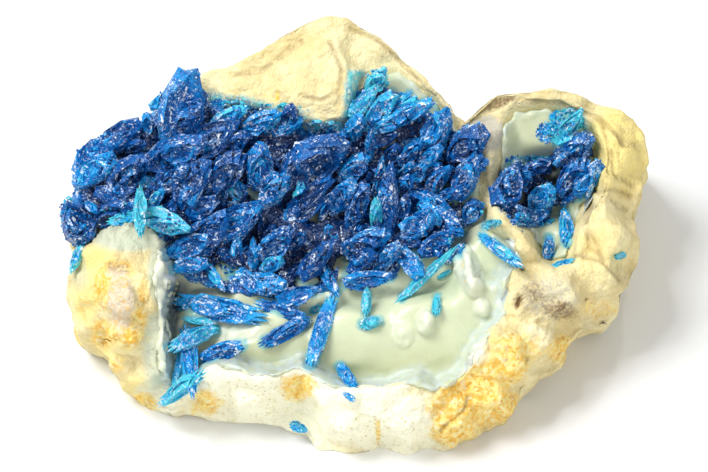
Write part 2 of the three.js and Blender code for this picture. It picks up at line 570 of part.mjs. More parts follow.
const groundPlate = new THREE.BoxGeometry(GROUND_SIZE, GROUND_SIZE, GROUND_HEIGHT);
groundPlate.translate(0, 0, -GROUND_HEIGHT / 2);
const restingRock = toSolid(bareRock).subtract(toSolid(groundPlate));
const matrix = restingRock.subtract(toSolid(cavitySeat)).subtract(toSolid(pocketSeat));
const matrixBody = largestBody(matrix);
addPart('matrix', matrixBody, rock);
addPart('cavity_lining', largestBody(toSolid(cavityLining)), lining);
addPart('pocket_lining', largestBody(toSolid(pocketLining)), lining);

const ground = toSolid(moved(matrixBody, outward, FIT_GAP))
  .add(toSolid(liningGround(cavityLayout)))
  .add(toSolid(liningGround(pocketLayout)));

const mainCrust = toSolid(crustSheet(mainCrustLayout, MAIN_CRUST_UNDERSIDE));
const pocketCrust = toSolid(crustSheet(pocketCrustLayout, POCKET_CRUST_UNDERSIDE));
addPart('main_druse', crystalBody(MAIN_CRYSTALS, mainCrust, ground), blues.deep);
addPart('pocket_druse', crystalBody(POCKET_CRYSTALS, pocketCrust, ground), blues.deep);
addPart('corner_druse', crystalBody(CORNER_CRYSTALS, null, ground), blues.azure);

SINGLE_CRYSTALS.forEach((crystal, number) => {
  const name = `crystal_${String(number + 1).padStart(2, '0')}`;
  addPart(name, crystalBody([crystal], null, ground, SINGLE_SIDES), blues[crystal[8]]);
});

export default group;
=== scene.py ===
import math

import bmesh
import bpy
import numpy as np
from bpy.props import FloatProperty, FloatVectorProperty, IntProperty
from mathutils import Matrix, Vector, noise


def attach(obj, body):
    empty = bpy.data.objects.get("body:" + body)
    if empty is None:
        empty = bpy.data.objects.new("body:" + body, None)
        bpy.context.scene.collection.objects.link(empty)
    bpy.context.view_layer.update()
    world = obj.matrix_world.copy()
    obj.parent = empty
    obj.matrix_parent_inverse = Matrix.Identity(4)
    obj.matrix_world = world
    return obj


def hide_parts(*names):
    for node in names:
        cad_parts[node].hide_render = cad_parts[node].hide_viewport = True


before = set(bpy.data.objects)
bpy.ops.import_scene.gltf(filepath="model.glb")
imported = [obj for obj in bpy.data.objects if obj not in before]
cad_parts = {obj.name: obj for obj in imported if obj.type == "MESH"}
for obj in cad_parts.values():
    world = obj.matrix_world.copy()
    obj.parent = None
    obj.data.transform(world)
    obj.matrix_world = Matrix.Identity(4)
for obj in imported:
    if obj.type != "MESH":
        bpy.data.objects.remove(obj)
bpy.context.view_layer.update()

bl_info = {
    "name": "Veszelyite specimen",
    "version": (1, 0, 0),
    "blender": (4, 5, 0),
    "location": "3D View > Sidebar > Specimen",
    "description": "Models the surfaces of a veszelyite specimen over its packed frame",
    "category": "Add Mesh",
}

# Shapes are surveyed on a sloping plane, looked at square on from the front and above: its
# column runs to +X and its row runs down the slope, in squares of one GRID. "Out" points from
# that plane towards the front. Lengths are in millimetres until show() makes a piece in metres.
MM = 0.001
TAU = 2 * math.pi
GRID = 0.041
SLOPE = math.radians(47)
DOWN = math.sin(SLOPE)
ACROSS = math.cos(SLOPE)
OUTWARD = np.array([0.0, -ACROSS, DOWN])
GRID_CENTRE = (355, 236)
ORIGIN_SHIFT_Y = 3.9
SURVEY_REACH = 16
SURVEY_FALLOFF = -3.0
EDGE_SOFTNESS = 6
LOBE_ROUNDNESS = 0.9

# The rock: its middle, the angle where its front turns into its walls, and how these run down
# and in to the foot
ROCK_MIDDLE = (355.0, 240.0)
RIM_ANGLE = math.radians(112)
WALL_SHARE = 0.62
BACK_LIMIT_Y = 4.4
BACK_BULGE = 1.3
WALL_SAG = 0.25
SIDE_BULGE = 0.12
SIDE_WAVES = 7
BASE_DEPTH = 1.5
FOOT_NARROWING = 0.96
FOOT_MIDDLE_Y = -4.0
UNDER_LINING = 0.3

# Relief of the rock from smooth noise: wavelength in millimetres, shift, and its height as shares
# of the lump rise and of the grain rise and in millimetres where the rock is rough
ROCK_WAVES = [
    (1.7, 2.0, 1.0, 0, 0), (0.8, 5.0, 0.7, 0, 0), (0.28, 9.0, 0, 1.0, 0), (0.13, 4.0, 0, 0.6, 0),
    (0.2, 1.0, 0, 0, 0.04),
]
# The same from round lumps: size, shift, middle level, depth of the grooves between, and height
ROCK_LUMPS = [(1.25, 7.0, 0.55, 0.12, 1.1, 0, 0), (0.42, 3.0, 0.5, 0, 0, 1.0, 0.06)]
PORE_WAVE, PORE_SHIFT, PORE_LEVEL, PORE_DEPTH = 0.6, 12.0, 0.12, 0.22
SKIN_SIZE, SKIN_SHIFT, SKIN_LEVEL, SKIN_RISE = 0.62, 6.0, 0.45, 0.34
HOLLOW_RELIEF = 0.25
LINED_SMOOTHING = 0.75
CREASE_REACH = 2.2
LINED_REACH, POCKET_LINED_REACH = 10, 8
# Swell and fading of the rock's hidden back: where it sets in on the way down, height, and the
# size in millimetres and shift of its noise and of its lumps
BACK_START = 0.35
BACK_RISE = 0.22
BACK_NOISE = (3.2, 14.0)
BACK_LUMPS = (2.4, 9.0)
BACK_FADE = 0.75

# The linings: rise above the ground, scallops of the edge in squares, lip, and thinning
LINING_RISE = 0.05
SCALLOP_SQUARES = 13.0
SCALLOP_DEPTH = 7
LIP_RISE = 0.02
LIP_LOBES = 0.16
EDGE_DROP = 0.35
EDGE_THICKNESS = 0.55
STAIN_REACH = 8.0
# Size in millimetres and shift of the linings' noise and lumps
LINING_NOISE, LINING_GRAIN, FRILL_NOISE = (1.4, 3.0), (0.25, 6.0), (0.45, 17.0)
LINING_LUMPS, RIM_LUMPS, LEFT_WALL_LUMPS = (0.85, 5.0), (0.36, 8.0), (0.66, 2.0, 0.45)
# Columns and rows between which the cavity's left wall turns lumpy and the pale frill sets in
LEFT_WALL_COLUMNS, LEFT_WALL_ROWS = (184, 172), (236, 256)
FRILL_COLUMNS = (176, 186)

# Where an oval's share starts and where it is full, in parts of the oval's size
ZONE_EDGE = (1.6, 0.3)
PIT_EDGE = (1.2, 0.4)
OPENING_EDGE = (1.2, 0.7)
ROCK_PATCH_EDGE = (1.8, 0.6)
LINING_PATCH_EDGE = (1.9, 0.5)
SPOT_EDGE = (1.4, 0.5)
OLIVE_SHADE_POCKET_EDGE = (1.5, 0.5)
PALE_EDGE = (1.2, 0.6)

# The druses: how high the crust between the crystals stands, and how deep it goes
CRUST_TOP = 0.65
CRUST_DEPTH = 0.55
# Height, size and shift in millimetres of the crust's lumps and noise
CRUST_LUMPS = (0.28, 0.5, 2.0)
CRUST_NOISE = [(0.18, 0.9, 4.0), (0.06, 0.15, 2.0)]
LEAST_RISE = 0.15
WIDE_SQUARES = 36
FILLING_MARGIN = 5
FILLING_OPENING = 0.2

ROCK_OUTLINE = [
    (72, 258), (68, 290), (72, 321), (85, 343), (100, 348), (112, 374), (131, 399), (149, 407),
    (184, 409), (218, 420), (252, 424), (285, 427), (303, 433), (317, 448), (345, 451), (387, 453),
    (431, 455), (467, 438), (500, 422), (518, 401), (532, 380), (563, 363), (573, 338), (613, 319),
    (624, 293), (640, 262), (637, 223), (643, 188), (650, 150), (629, 117), (596, 101), (565, 90),
    (528, 91), (495, 96), (480, 114), (468, 124), (446, 102), (424, 77), (401, 56), (377, 35),
    (352, 21), (325, 15), (285, 33), (259, 50), (232, 64), (207, 72), (190, 84), (165, 104),
    (140, 128), (112, 145), (92, 165), (80, 190), (74, 215), (71, 235),
]
CAVITY_EDGE = [
    (199, 368), (215, 360), (235, 360), (250, 368), (276, 369), (300, 360), (325, 376), (350, 385),
    (390, 384), (405, 377), (418, 373), (434, 384), (460, 372), (470, 350), (482, 330), (497, 318),
    (503, 300), (497, 280), (512, 262), (508, 240), (492, 228), (487, 205), (488, 180), (482, 138),
    (468, 128), (448, 108), (428, 88), (410, 72), (392, 62), (370, 66), (356, 78), (352, 95),
    (347, 118), (322, 126), (290, 116), (255, 106), (228, 99), (206, 90), (190, 72), (150, 50),
    (60, 90), (10, 200), (30, 262), (68, 256), (90, 244), (97, 238), (110, 228), (128, 222),
    (150, 228), (160, 238), (168, 262), (174, 285), (167, 310), (172, 335), (170, 360), (174, 385),
    (186, 390),
]
POCKET_EDGE = [
    (503, 118), (515, 107), (540, 102), (565, 104), (585, 115), (598, 135), (603, 160), (600, 185),
    (592, 200), (585, 215), (578, 235), (572, 262), (556, 268), (540, 260), (528, 232), (512, 222),
    (500, 205), (494, 180), (496, 150),
]
OUTER_SPOTS = [
    (225, 68, 5.3), (285, 35, 5.45), (325, 18, 5.3), (366, 30, 5.25), (401, 58, 4.95),
    (446, 104, 5.35), (240, 90, 5.9), (300, 80, 6.3), (330, 60, 6.1), (340, 110, 6.3),
    (260, 60, 5.5), (385, 45, 5.1), (200, 80, 5.2), (478, 122, 5.1), (490, 150, 6.2),
    (510, 92, 5.15), (565, 90, 5.2), (610, 107, 4.9), (645, 135, 4.4), (650, 160, 4.2),
    (620, 150, 6.0), (600, 190, 7.2), (636, 204, 5.1), (612, 240, 7.8), (640, 262, 5.7),
    (600, 280, 8.3), (613, 319, 6.0), (560, 300, 9.2), (530, 260, 8.6), (520, 300, 9.2),
    (572, 338, 7.1), (540, 345, 9.4), (510, 360, 10.1), (500, 400, 9.9), (563, 363, 6.6),
    (518, 401, 7.6), (500, 422, 7.8), (455, 420, 10.0), (467, 438, 8.4), (431, 455, 8.1),
    (340, 385, 10.6), (340, 420, 10.3), (340, 451, 8.3), (387, 453, 8.2), (400, 420, 10.4),
    (420, 395, 10.4), (380, 390, 10.6), (317, 448, 8.2), (301, 430, 8.3), (260, 370, 10.5),
    (250, 400, 9.7), (252, 424, 7.6), (285, 427, 7.8), (218, 420, 7.5), (205, 385, 10.0),
    (184, 409, 7.2), (149, 407, 7.0), (131, 399, 6.8), (112, 374, 6.6), (100, 348, 6.4),
    (85, 343, 6.4), (72, 321, 6.4), (68, 290, 6.4), (72, 258, 6.6), (120, 250, 9.8),
    (122, 300, 10.9), (120, 340, 10.7), (150, 290, 10.3), (90, 290, 9.2), (90, 325, 8.6),
    (140, 380, 9.4), (165, 360, 9.6), (128, 228, 9.2), (160, 245, 9.1), (172, 285, 9.3),
    (170, 330, 9.6), (178, 395, 8.6), (95, 250, 8.6), (115, 365, 8.4),
]
INNER_SPOTS = [
    (100, 180, 5.2), (150, 130, 5.0), (190, 100, 5.1), (75, 220, 5.4), (128, 215, 6.2),
    (170, 225, 6.4), (150, 180, 5.4), (80, 160, 4.6), (120, 130, 4.6), (70, 250, 5.6),
    (250, 130, 5.4), (250, 180, 5.25), (250, 230, 5.5), (250, 270, 6.4), (250, 300, 7.5),
    (270, 325, 8.5), (270, 350, 8.6), (270, 368, 8.3), (350, 150, 5.0), (350, 200, 5.3),
    (350, 250, 6.1), (350, 290, 7.4), (350, 325, 8.75), (350, 355, 8.7), (350, 382, 8.3),
    (345, 122, 5.5), (300, 120, 5.5), (225, 100, 5.5), (365, 80, 5.2), (400, 75, 5.0),
    (430, 130, 4.8), (430, 180, 4.8), (450, 220, 5.7), (430, 270, 6.9), (430, 320, 8.65),
    (430, 350, 8.6), (440, 376, 8.4), (480, 300, 8.6), (490, 250, 7.4), (480, 200, 6.0),
    (480, 150, 5.6), (300, 200, 5.2), (300, 250, 5.9), (300, 290, 7.2), (190, 320, 7.7),
    (185, 350, 7.9), (188, 385, 8.3), (200, 290, 6.7), (200, 170, 5.4), (200, 240, 6.0),
    (180, 300, 6.9), (545, 130, 4.6), (550, 170, 3.7), (550, 200, 4.1), (550, 240, 6.0),
    (580, 140, 4.6), (575, 190, 5.1), (510, 190, 5.1), (570, 255, 7.2),
]
# Lobes of the ground: column, row, half width, half length, turn, rise
LOBES = [
    (468, 270, 13, 30, -20, 1.0), (426, 322, 10, 15, 0, 0.55), (404, 335, 12, 14, 0, 0.2),
    (481, 307, 9, 10, 0, 0.35), (521, 247, 17, 16, 0, 0.5), (476, 358, 9, 19, 25, 0.45),
    (205, 305, 26, 18, -20, 0.35), (612, 245, 22, 42, 0, 0.6), (172, 286, 7, 10, 0, 0.4),
    (162, 345, 12, 14, 0, 0.35), (160, 375, 12, 13, 0, 0.3),
]
LINING_REGION = [
    (151, 300), (153, 262), (162, 225), (185, 165), (215, 122), (255, 112), (290, 121), (322, 131),
    (348, 126), (362, 100), (378, 72), (398, 64), (420, 82), (440, 102), (464, 130), (477, 145),
    (483, 170), (484, 200), (492, 228), (515, 240), (524, 262), (505, 288), (509, 312), (492, 338),
    (478, 355), (460, 382), (434, 393), (405, 386), (350, 394), (325, 386), (300, 370), (276, 379),
    (250, 377), (215, 369), (199, 377), (186, 396), (168, 392), (154, 362), (158, 330),
]
POCKET_LINING_REGION = [
    (504, 122), (516, 110), (540, 105), (565, 108), (583, 118), (595, 138), (600, 162), (594, 192),
    (582, 215), (576, 240), (568, 260), (550, 262), (536, 246), (526, 226), (508, 208), (499, 180),
    (499, 150),
]
MAIN_CRUST_REGION = [
    (66, 222), (72, 195), (84, 168), (100, 152), (116, 136), (140, 122), (165, 102), (184, 86),
    (204, 96), (222, 108), (255, 116), (290, 124), (322, 134), (346, 128), (356, 100), (366, 76),
    (382, 74), (398, 92), (420, 106), (446, 114), (462, 134), (478, 142), (480, 168), (477, 195),
    (478, 222), (455, 236), (428, 252), (406, 262), (396, 282), (345, 290), (320, 296), (285, 303),
    (245, 298), (212, 290), (178, 276), (164, 246), (142, 210), (110, 208), (90, 228), (72, 232),
]
POCKET_CRUST_REGION = [
    (500, 172), (515, 162), (540, 160), (556, 148), (566, 128), (582, 132), (594, 146), (598, 170),
    (592, 192), (580, 202), (558, 208), (545, 228), (512, 228), (496, 210), (494, 190),
]
CAVITY_MIDDLE = (325, 245)
POCKET_MIDDLE = (548, 180)
MAIN_CRUST_MIDDLE = (280, 190)
POCKET_CRUST_MIDDLE = (545, 190)

# Crystals: column and row of the foot and its rise above the ground, the same for the tip,
# the width, the turn about the crystal's own length in degrees, and the tone.
MAIN_CRYSTALS = [
    (174, 152, 0.45, 187, 72, 1.5, 40, 20, 0.30), (150, 106, 0.45, 182, 90, 0.9, 14, 0, 0.55),
    (172, 132, 0.5, 200, 102, 1.5, 28, -30, 0.1), (138, 122, 0.5, 100, 150, 0.8, 22, 25, 0.15),
    (108, 140, 0.45, 76, 172, 0.7, 24, 20, 0.35), (74, 184, 0.5, 112, 158, 1.3, 22, -20, 0.4),
    (112, 184, 0.6, 147, 158, 1.5, 24, 30, 0.1), (86, 242, 0.45, 64, 204, 0.9, 26, 15, 0.05),
    (98, 192, 0.5, 142, 206, 1.4, 20, -35, 0.15), (94, 224, 0.45, 126, 204, 1.2, 18, 10, 0.1),
    (148, 164, 0.6, 202, 140, 1.7, 26, 30, 0.15), (154, 188, 0.5, 197, 168, 1.5, 22, -20, 0.1),
    (143, 216, 0.7, 188, 229, 1.7, 20, 40, 0.75), (178, 204, 0.45, 206, 160, 1.4, 24, -30, 0.1),
    (204, 190, 0.45, 238, 158, 1.4, 26, 25, 0.1), (195, 152, 0.45, 236, 120, 1.3, 28, -15, 0.15),
    (214, 152, 0.45, 246, 134, 1.2, 18, 30, 0.1), (188, 252, 0.45, 226, 214, 1.4, 28, 15, 0.2),
    (218, 236, 0.45, 260, 204, 1.5, 26, -25, 0.25), (188, 216, 0.45, 216, 199, 1.3, 18, 0, 0.15),
    (258, 186, 0.45, 260, 146, 1.7, 24, 20, 0.25), (262, 204, 0.45, 287, 175, 1.4, 18, -30, 0.3),
    (286, 184, 0.45, 340, 140, 1.9, 42, 35, 0.1), (285, 216, 0.45, 331, 179, 1.4, 14, 0, 0.1),
    (341, 180, 0.45, 365, 156, 1.5, 18, 20, 0.3), (331, 212, 0.45, 352, 183, 1.6, 18, -20, 0.3),
    (349, 226, 0.45, 365, 185, 1.4, 16, 30, 0.2), (383, 236, 0.45, 391, 165, 1.5, 20, -25, 0.1),
    (395, 197, 0.45, 411, 177, 1.5, 14, 0, 0.2), (410, 200, 0.45, 456, 229, 1.6, 30, 35, 0.25),
    (403, 220, 0.45, 406, 195, 1.5, 14, 20, 0.1), (404, 239, 0.45, 432, 213, 1.7, 20, -20, 0.3),
    (350, 254, 0.45, 386, 233, 1.7, 24, 15, 0.3), (376, 268, 0.45, 398, 244, 1.5, 15, -25, 0.3),
    (420, 254, 0.45, 451, 235, 1.3, 18, 20, 0.15), (301, 277, 0.45, 334, 241, 1.4, 16, -30, 0.1),
    (263, 258, 0.45, 288, 231, 1.5, 22, 20, 0.2), (261, 270, 0.45, 282, 260, 1.2, 13, 0, 0.55),
    (169, 254, 0.45, 207, 239, 1.4, 18, 20, 0.3), (174, 269, 0.45, 207, 263, 1.0, 14, -15, 0.35),
    (232, 280, 0.45, 284, 286, 1.1, 18, 25, 0.35), (279, 302, 0.45, 317, 289, 1.1, 16, -20, 0.3),
    (214, 126, 0.45, 246, 107, 0.9, 16, 0, 0.55), (244, 130, 0.45, 276, 111, 0.9, 16, 20, 0.4),
    (274, 132, 0.45, 301, 119, 0.8, 14, -20, 0.3), (346, 283, 0.45, 390, 276, 1.3, 15, 30, 0.25),
    (349, 273, 0.45, 374, 251, 1.4, 16, -20, 0.15), (403, 248, 0.45, 419, 277, 1.2, 16, 20, 0.45),
    (370, 91, 0.45, 385, 67, 0.9, 14, 20, 0.85), (351, 117, 0.45, 376, 87, 1.1, 14, -20, 0.75),
    (360, 130, 0.45, 393, 94, 1.3, 16, 20, 0.6), (372, 131, 0.45, 431, 101, 1.6, 15, 25, 0.5),
    (429, 144, 0.45, 448, 110, 1.7, 22, -20, 0.3), (450, 158, 0.45, 482, 131, 1.5, 26, 20, 0.1),
    (458, 197, 0.45, 477, 156, 1.4, 20, -20, 0.2), (402, 162, 0.45, 421, 141, 1.3, 14, 20, 0.3),
    (419, 168, 0.45, 441, 147, 1.4, 14, -20, 0.35), (429, 188, 0.45, 451, 167, 1.3, 14, 20, 0.25),
]
SMALL_CRYSTALS = [
    (80, 248, 0.1, 71, 271, 0.3, 10, 0, 0.8), (141, 231, 0.7, 140, 192, 1.8, 12, 30, 0.85),
    (110, 222, 0.8, 136, 216, 1.4, 12, 0, 0.8), (150, 207, 0.4, 162, 190, 1.3, 10, 0, 0.5),
    (292, 224, 0.3, 336, 192, 1.2, 10, 20, 0.15), (321, 219, 0.4, 329, 199, 1.3, 8, 0, 0.2),
    (375, 229, 0.4, 376, 201, 1.9, 11, 30, 0.75), (368, 163, 0.3, 371, 133, 1.5, 9, 30, 0.3),
    (376, 197, 0.3, 382, 161, 1.6, 9, 20, 0.4), (399, 176, 0.3, 413, 164, 1.5, 8, 30, 0.35),
    (304, 264, 0.3, 331, 245, 1.2, 12, 30, 0.2), (290, 248, 0.3, 304, 234, 1.4, 12, 0, 0.2),
    (236, 264, 0.2, 237, 238, 1.4, 12, 30, 0.4), (253, 272, 0.2, 253, 242, 1.4, 10, -20, 0.4),
    (204, 262, 0.3, 222, 287, 1.0, 10, 30, 0.5), (318, 261, 0.4, 336, 292, 0.9, 12, 20, 0.4),
    (384, 122, 0.3, 409, 94, 1.2, 12, 0, 0.5), (405, 182, 0.3, 426, 164, 1.3, 12, 0, 0.3),
    (434, 202, 0.3, 463, 189, 1.2, 12, -20, 0.2),
]
POCKET_CRYSTALS = [
    (500, 206, 0.45, 516, 167, 1.2, 24, 20, 0.15), (521, 186, 0.45, 530, 171, 1.4, 10, 0, 0.2),
    (533, 208, 0.6, 553, 188, 1.4, 20, -20, 0.5), (524, 172, 0.5, 551, 161, 1.1, 12, 20, 0.1),
    (513, 223, 0.45, 547, 213, 1.2, 12, 0, 0.3), (562, 194, 0.45, 585, 164, 1.3, 20, 20, 0.25),
    (578, 194, 0.45, 601, 164, 0.9, 18, -20, 0.3), (560, 142, 0.5, 583, 109, 0.6, 14, 0, 0.8),
    (560, 162, 0.45, 590, 137, 1.1, 22, 20, 0.2),
]
CORNER_CRYSTALS = [
    (214, 329, 0.2, 173, 347, 0.9, 16, 20, 0.7), (187, 333, 0.4, 193, 389, 1.0, 16, -20, 0.5),
    (188, 338, 0.55, 176, 388, 0.7, 12, 10, 0.7), (201, 374, 0.7, 164, 401, 0.8, 14, 0, 0.75),
]
SINGLE_CRYSTALS = [
    (181, 302, 0.2, 256, 316, 0.4, 23, 10, 0.5), (261, 304, 0.2, 303, 317, 0.4, 13, 0, 0.35),
    (265, 342, 0.15, 305, 322, 0.25, 15, 10, 0.3), (331, 302, 0.7, 311, 362, 0.75, 16, 20, 0.55),
    (362, 325, 0.1, 379, 320, 0.2, 12, 0, 0.9), (366, 312, 0.2, 367, 290, 0.9, 9, 20, 0.9),
    (402, 298, 0.1, 451, 252, 0.9, 9, 10, 0.85), (436, 313, 0.2, 437, 296, 0.3, 8, 0, 0.95),
    (340, 366, 0.1, 354, 386, 0.2, 12, 0, 0.5), (202, 358, 0.6, 241, 345, 0.7, 16, 20, 0.35),
    (292, 424, 0.0, 306, 430, 0.1, 9, 0, 0.6), (483, 237, 0.3, 517, 263, 0.7, 12, 20, 0.6),
    (448, 262, 0.0, 462, 246, 0.4, 9, 0, 0.4), (567, 242, 0.1, 566, 212, 0.9, 13, 20, 0.55),
    (549, 259, 0.1, 550, 238, 0.8, 11, 0, 0.4), (553, 267, 0.1, 572, 260, 0.5, 7, 0, 0.7),
    (312, 311, 0.1, 322, 308, 0.2, 8, 0, 0.85), (186, 319, 0.1, 213, 323, 0.2, 7, 0, 0.95),
    (484, 226, 0.0, 500, 222, 0.6, 8, 0, 0.9),
]
SINGLE_SLOTS = {
    "azure_crystal": (1, 4, 9, 11, 12, 14),
    "blue_crystal": (2, 3, 10, 13, 15),
    "teal_crystal": (5, 6, 7, 8, 16, 17, 18, 19),
}
SPECKS = [
    (439, 278, 0.1, 450, 271, 0.2, 5, 0, 0.9), (344, 392, 0.0, 354, 399, 0.1, 6, 0, 0.6),
    (616, 257, 0.0, 626, 255, 0.05, 6, 0, 0.9),
]

# Places where the druse is open and the lining shows: column, row, half width, half height
DRUSE_OPENINGS = [
    (254, 190, 9, 9), (314, 216, 9, 8), (388, 141, 8, 9), (452, 193, 22, 11), (342, 272, 7, 18),
    (226, 272, 14, 9), (410, 255, 8, 7), (306, 282, 12, 8), (555, 178, 8, 12), (521, 196, 7, 6),
]

# Patches of tiny crystals: column, row, half width, half height, tone and number
MAIN_PATCHES = [
    (377, 80, 11, 11, 0.85, 90), (398, 104, 16, 12, 0.55, 70), (352, 110, 6, 16, 0.8, 60),
    (264, 112, 46, 9, 0.65, 240), (318, 126, 28, 6, 0.8, 100), (232, 103, 20, 6, 0.85, 90),
    (452, 192, 26, 12, 0.4, 40), (240, 268, 20, 10, 0.6, 40), (66, 215, 6, 20, 0.8, 40),
]
POCKET_PATCHES = [
    (568, 120, 17, 12, 0.95, 260), (549, 132, 11, 10, 0.6, 130), (528, 159, 22, 5, 0.6, 60),
    (580, 142, 9, 8, 0.6, 60), (540, 221, 14, 5, 0.6, 40),
]
PATCH_OVALS = [patch[:4] for patch in MAIN_PATCHES + POCKET_PATCHES]
ALL_CRYSTALS = [
    *MAIN_CRYSTALS, *SMALL_CRYSTALS, *POCKET_CRYSTALS, *CORNER_CRYSTALS, *SINGLE_CRYSTALS,
]

# Colour zones of the rock: kind, column, row, half width, half height, turn, strength
ROCK_ZONES = [
    ("white", 300, 405, 120, 46, 0, 1.0), ("white", 400, 425, 60, 34, 0, 1.0),
    ("white", 235, 385, 60, 30, 0, 1.0), ("white", 160, 400, 30, 20, 0, 0.7),
    ("white", 470, 350, 20, 30, 0, 0.8), ("white", 530, 340, 26, 20, 0, 0.5),
    ("dots", 255, 395, 50, 26, 0, 1.0), ("dots", 380, 430, 60, 24, 0, 0.8),
    ("ochre", 298, 386, 18, 14, 0, 0.9), ("ochre", 206, 402, 17, 14, 0, 0.75),
    ("ochre", 378, 432, 3, 14, 0, 0.8), ("ochre", 143, 402, 16, 7, 10, 0.9),
    ("ochre", 490, 378, 52, 20, -28, 1.0), ("ochre", 455, 425, 26, 22, 0, 0.95),
    ("ochre", 515, 350, 36, 22, 0, 0.7), ("ochre", 565, 350, 22, 16, 0, 0.8),
    ("ochre", 600, 310, 22, 12, 0, 0.5), ("ochre", 500, 405, 22, 20, 0, 0.9),
    ("ochre", 105, 333, 15, 15, 0, 0.9), ("ochre", 130, 336, 14, 13, 0, 1.0),
    ("ochre", 141, 315, 9, 14, 0, 0.9), ("ochre", 105, 288, 12, 22, 0, 0.9),
    ("ochre", 120, 268, 20, 10, 0, 0.7), ("ochre", 82, 305, 9, 16, 0, 0.5),
    ("ochre", 113, 366, 12, 10, 0, 0.6), ("ochre", 276, 95, 3, 6, 0, 1.0),
    ("ochre", 263, 42, 20, 14, 0, 0.25), ("ochre", 146, 292, 8, 20, 0, 0.6),
    ("yellow", 100, 262, 26, 20, 0, 0.9), ("yellow", 85, 300, 18, 28, 0, 0.8),
    ("yellow", 108, 350, 22, 16, 0, 0.7), ("yellow", 135, 388, 20, 16, 0, 0.7),
    ("yellow", 620, 150, 42, 54, 0, 0.9), ("yellow", 600, 250, 38, 50, 0, 0.5),
    ("yellow", 540, 330, 50, 40, 0, 0.4), ("yellow", 290, 70, 90, 60, 0, 0.35),
    ("pink", 122, 300, 13, 34, 0, 1.0), ("pink", 118, 272, 12, 10, 0, 0.6),
    ("brown", 567, 314, 20, 17, 20, 0.5), ("brown", 500, 102, 24, 8, -20, 0.8),
    ("brown", 560, 96, 40, 5, 4, 0.35), ("brown", 518, 302, 4, 9, 20, 1.0),
    ("brown", 522, 269, 4, 3, 0, 0.9), ("brown", 276, 96, 2, 4, 0, 0.7),
    ("brown", 263, 55, 2, 5, 0, 0.6), ("brown", 540, 322, 5, 3, 0, 0.6),
    ("brown", 590, 303, 3, 3, 0, 0.8), ("brown", 605, 322, 4, 3, 0, 0.8),
    ("grey", 488, 133, 20, 20, 0, 1.0), ("grey", 571, 300, 12, 10, 0, 0.5),
    ("grey", 548, 298, 40, 30, 0, 0.55), ("brown", 562, 312, 26, 14, 20, 0.8),
    ("brown", 532, 292, 18, 14, 0, 0.68), ("brown", 540, 276, 22, 6, -20, 0.4),
    ("brown", 122, 266, 20, 10, 0, 0.62), ("brown", 146, 298, 8, 26, 0, 0.62),
    ("brown", 136, 324, 16, 9, 0, 0.6), ("brown", 102, 300, 7, 26, 0, 0.5),
    ("rough", 545, 310, 66, 60, 0, 1.0), ("rough", 480, 400, 60, 50, -20, 1.0),
    ("rough", 122, 300, 36, 50, 0, 0.8), ("rough", 250, 398, 60, 26, 0, 0.6),
    ("rough", 400, 425, 60, 26, 0, 0.6), ("rough", 490, 130, 20, 24, 0, 1.0),
    ("rough", 520, 100, 40, 8, -8, 0.8),
    ("ochre", 470, 400, 44, 32, -20, 0.9),
    ("skin", 130, 236, 42, 16, 0, 1.0), ("skin", 163, 268, 14, 42, 0, 1.0),
    ("skin", 160, 350, 18, 44, 0, 0.9), ("skin", 80, 275, 12, 24, 0, 0.5),
    ("skin", 150, 104, 30, 30, 0, 0.5), ("skin", 148, 392, 20, 12, 0, 0.5),
]
# Hollows in the rock: column, row, half width, half height, depth
ROCK_PITS = [
    (518, 302, 4, 9, 0.35), (522, 269, 3, 3, 0.15), (276, 95, 3, 6, 0.15), (567, 316, 14, 14, 0.15),
    (540, 322, 6, 4, 0.15), (263, 56, 2, 5, 0.08), (590, 303, 4, 4, 0.12), (510, 318, 5, 5, 0.15),
    (605, 322, 5, 4, 0.12), (320, 90, 3, 2, 0.05), (225, 88, 4, 3, 0.08), (550, 300, 8, 6, 0.15),
]
# Creases of the rock, each a line of columns and rows with its half width and depth
ROCK_CREASES = [
    ([(590, 197), (586, 225), (592, 248), (604, 260)], 2.2, 0.14),
    ([(600, 192), (618, 190), (632, 196)], 2.0, 0.112),
    ([(588, 186), (606, 196), (628, 210)], 1.6, 0.098),
    ([(604, 120), (610, 160), (606, 188)], 2.0, 0.084),
    ([(520, 100), (560, 102), (600, 118), (640, 150)], 2.0, 0.112),
    ([(612, 150), (618, 175), (636, 186)], 2.0, 0.098),
    ([(560, 262), (580, 256), (604, 262), (622, 280)], 1.8, 0.098),
    ([(330, 40), (342, 70), (338, 105)], 2.0, 0.07),
    ([(230, 75), (262, 70), (300, 40)], 2.4, 0.07),
    ([(300, 95), (322, 100), (340, 90)], 1.8, 0.07),
    ([(352, 28), (382, 42), (420, 80)], 1.5, 0.084),
    ([(440, 430), (462, 412), (470, 396)], 1.8, 0.112),
]
# Weathered patches behind the rock: kind, wavelength in millimetres, shift, start, strength
BACK_PATCHES = [("ochre", 2.6, 21.0, 0.1, 0.55), ("brown", 1.9, 33.0, 0.15, 0.5)]
# How the colour zones fade in: strength where one starts, where it is full, and how ragged it is
ZONE_FADES = {
    "yellow": (0.2, 1.0, 1.0), "white": (0.2, 0.7, 0.9), "skin": (0.25, 0.75, 0.5),
    "grey": (0.25, 0.8, 1.0), "ochre": (0.2, 0.75, 1.7), "pink": (0.25, 0.7, 1.6),
    "brown": (0.4, 1.0, 1.5),
}
# Edge of the druse where the rock is stained turquoise: lines with their half widths
STAIN_LINES = [
    ([(206, 96), (222, 98), (255, 106), (290, 116), (322, 128), (346, 124), (350, 100), (352, 74)], 11),
    ([(360, 72), (380, 78), (404, 96)], 7), ([(553, 128), (566, 114), (582, 118), (588, 132)], 8),
]
# Regions that stain the rock around them, and how far
STAIN_REGIONS = [(MAIN_CRUST_REGION, 12), (POCKET_CRUST_REGION, 8)]
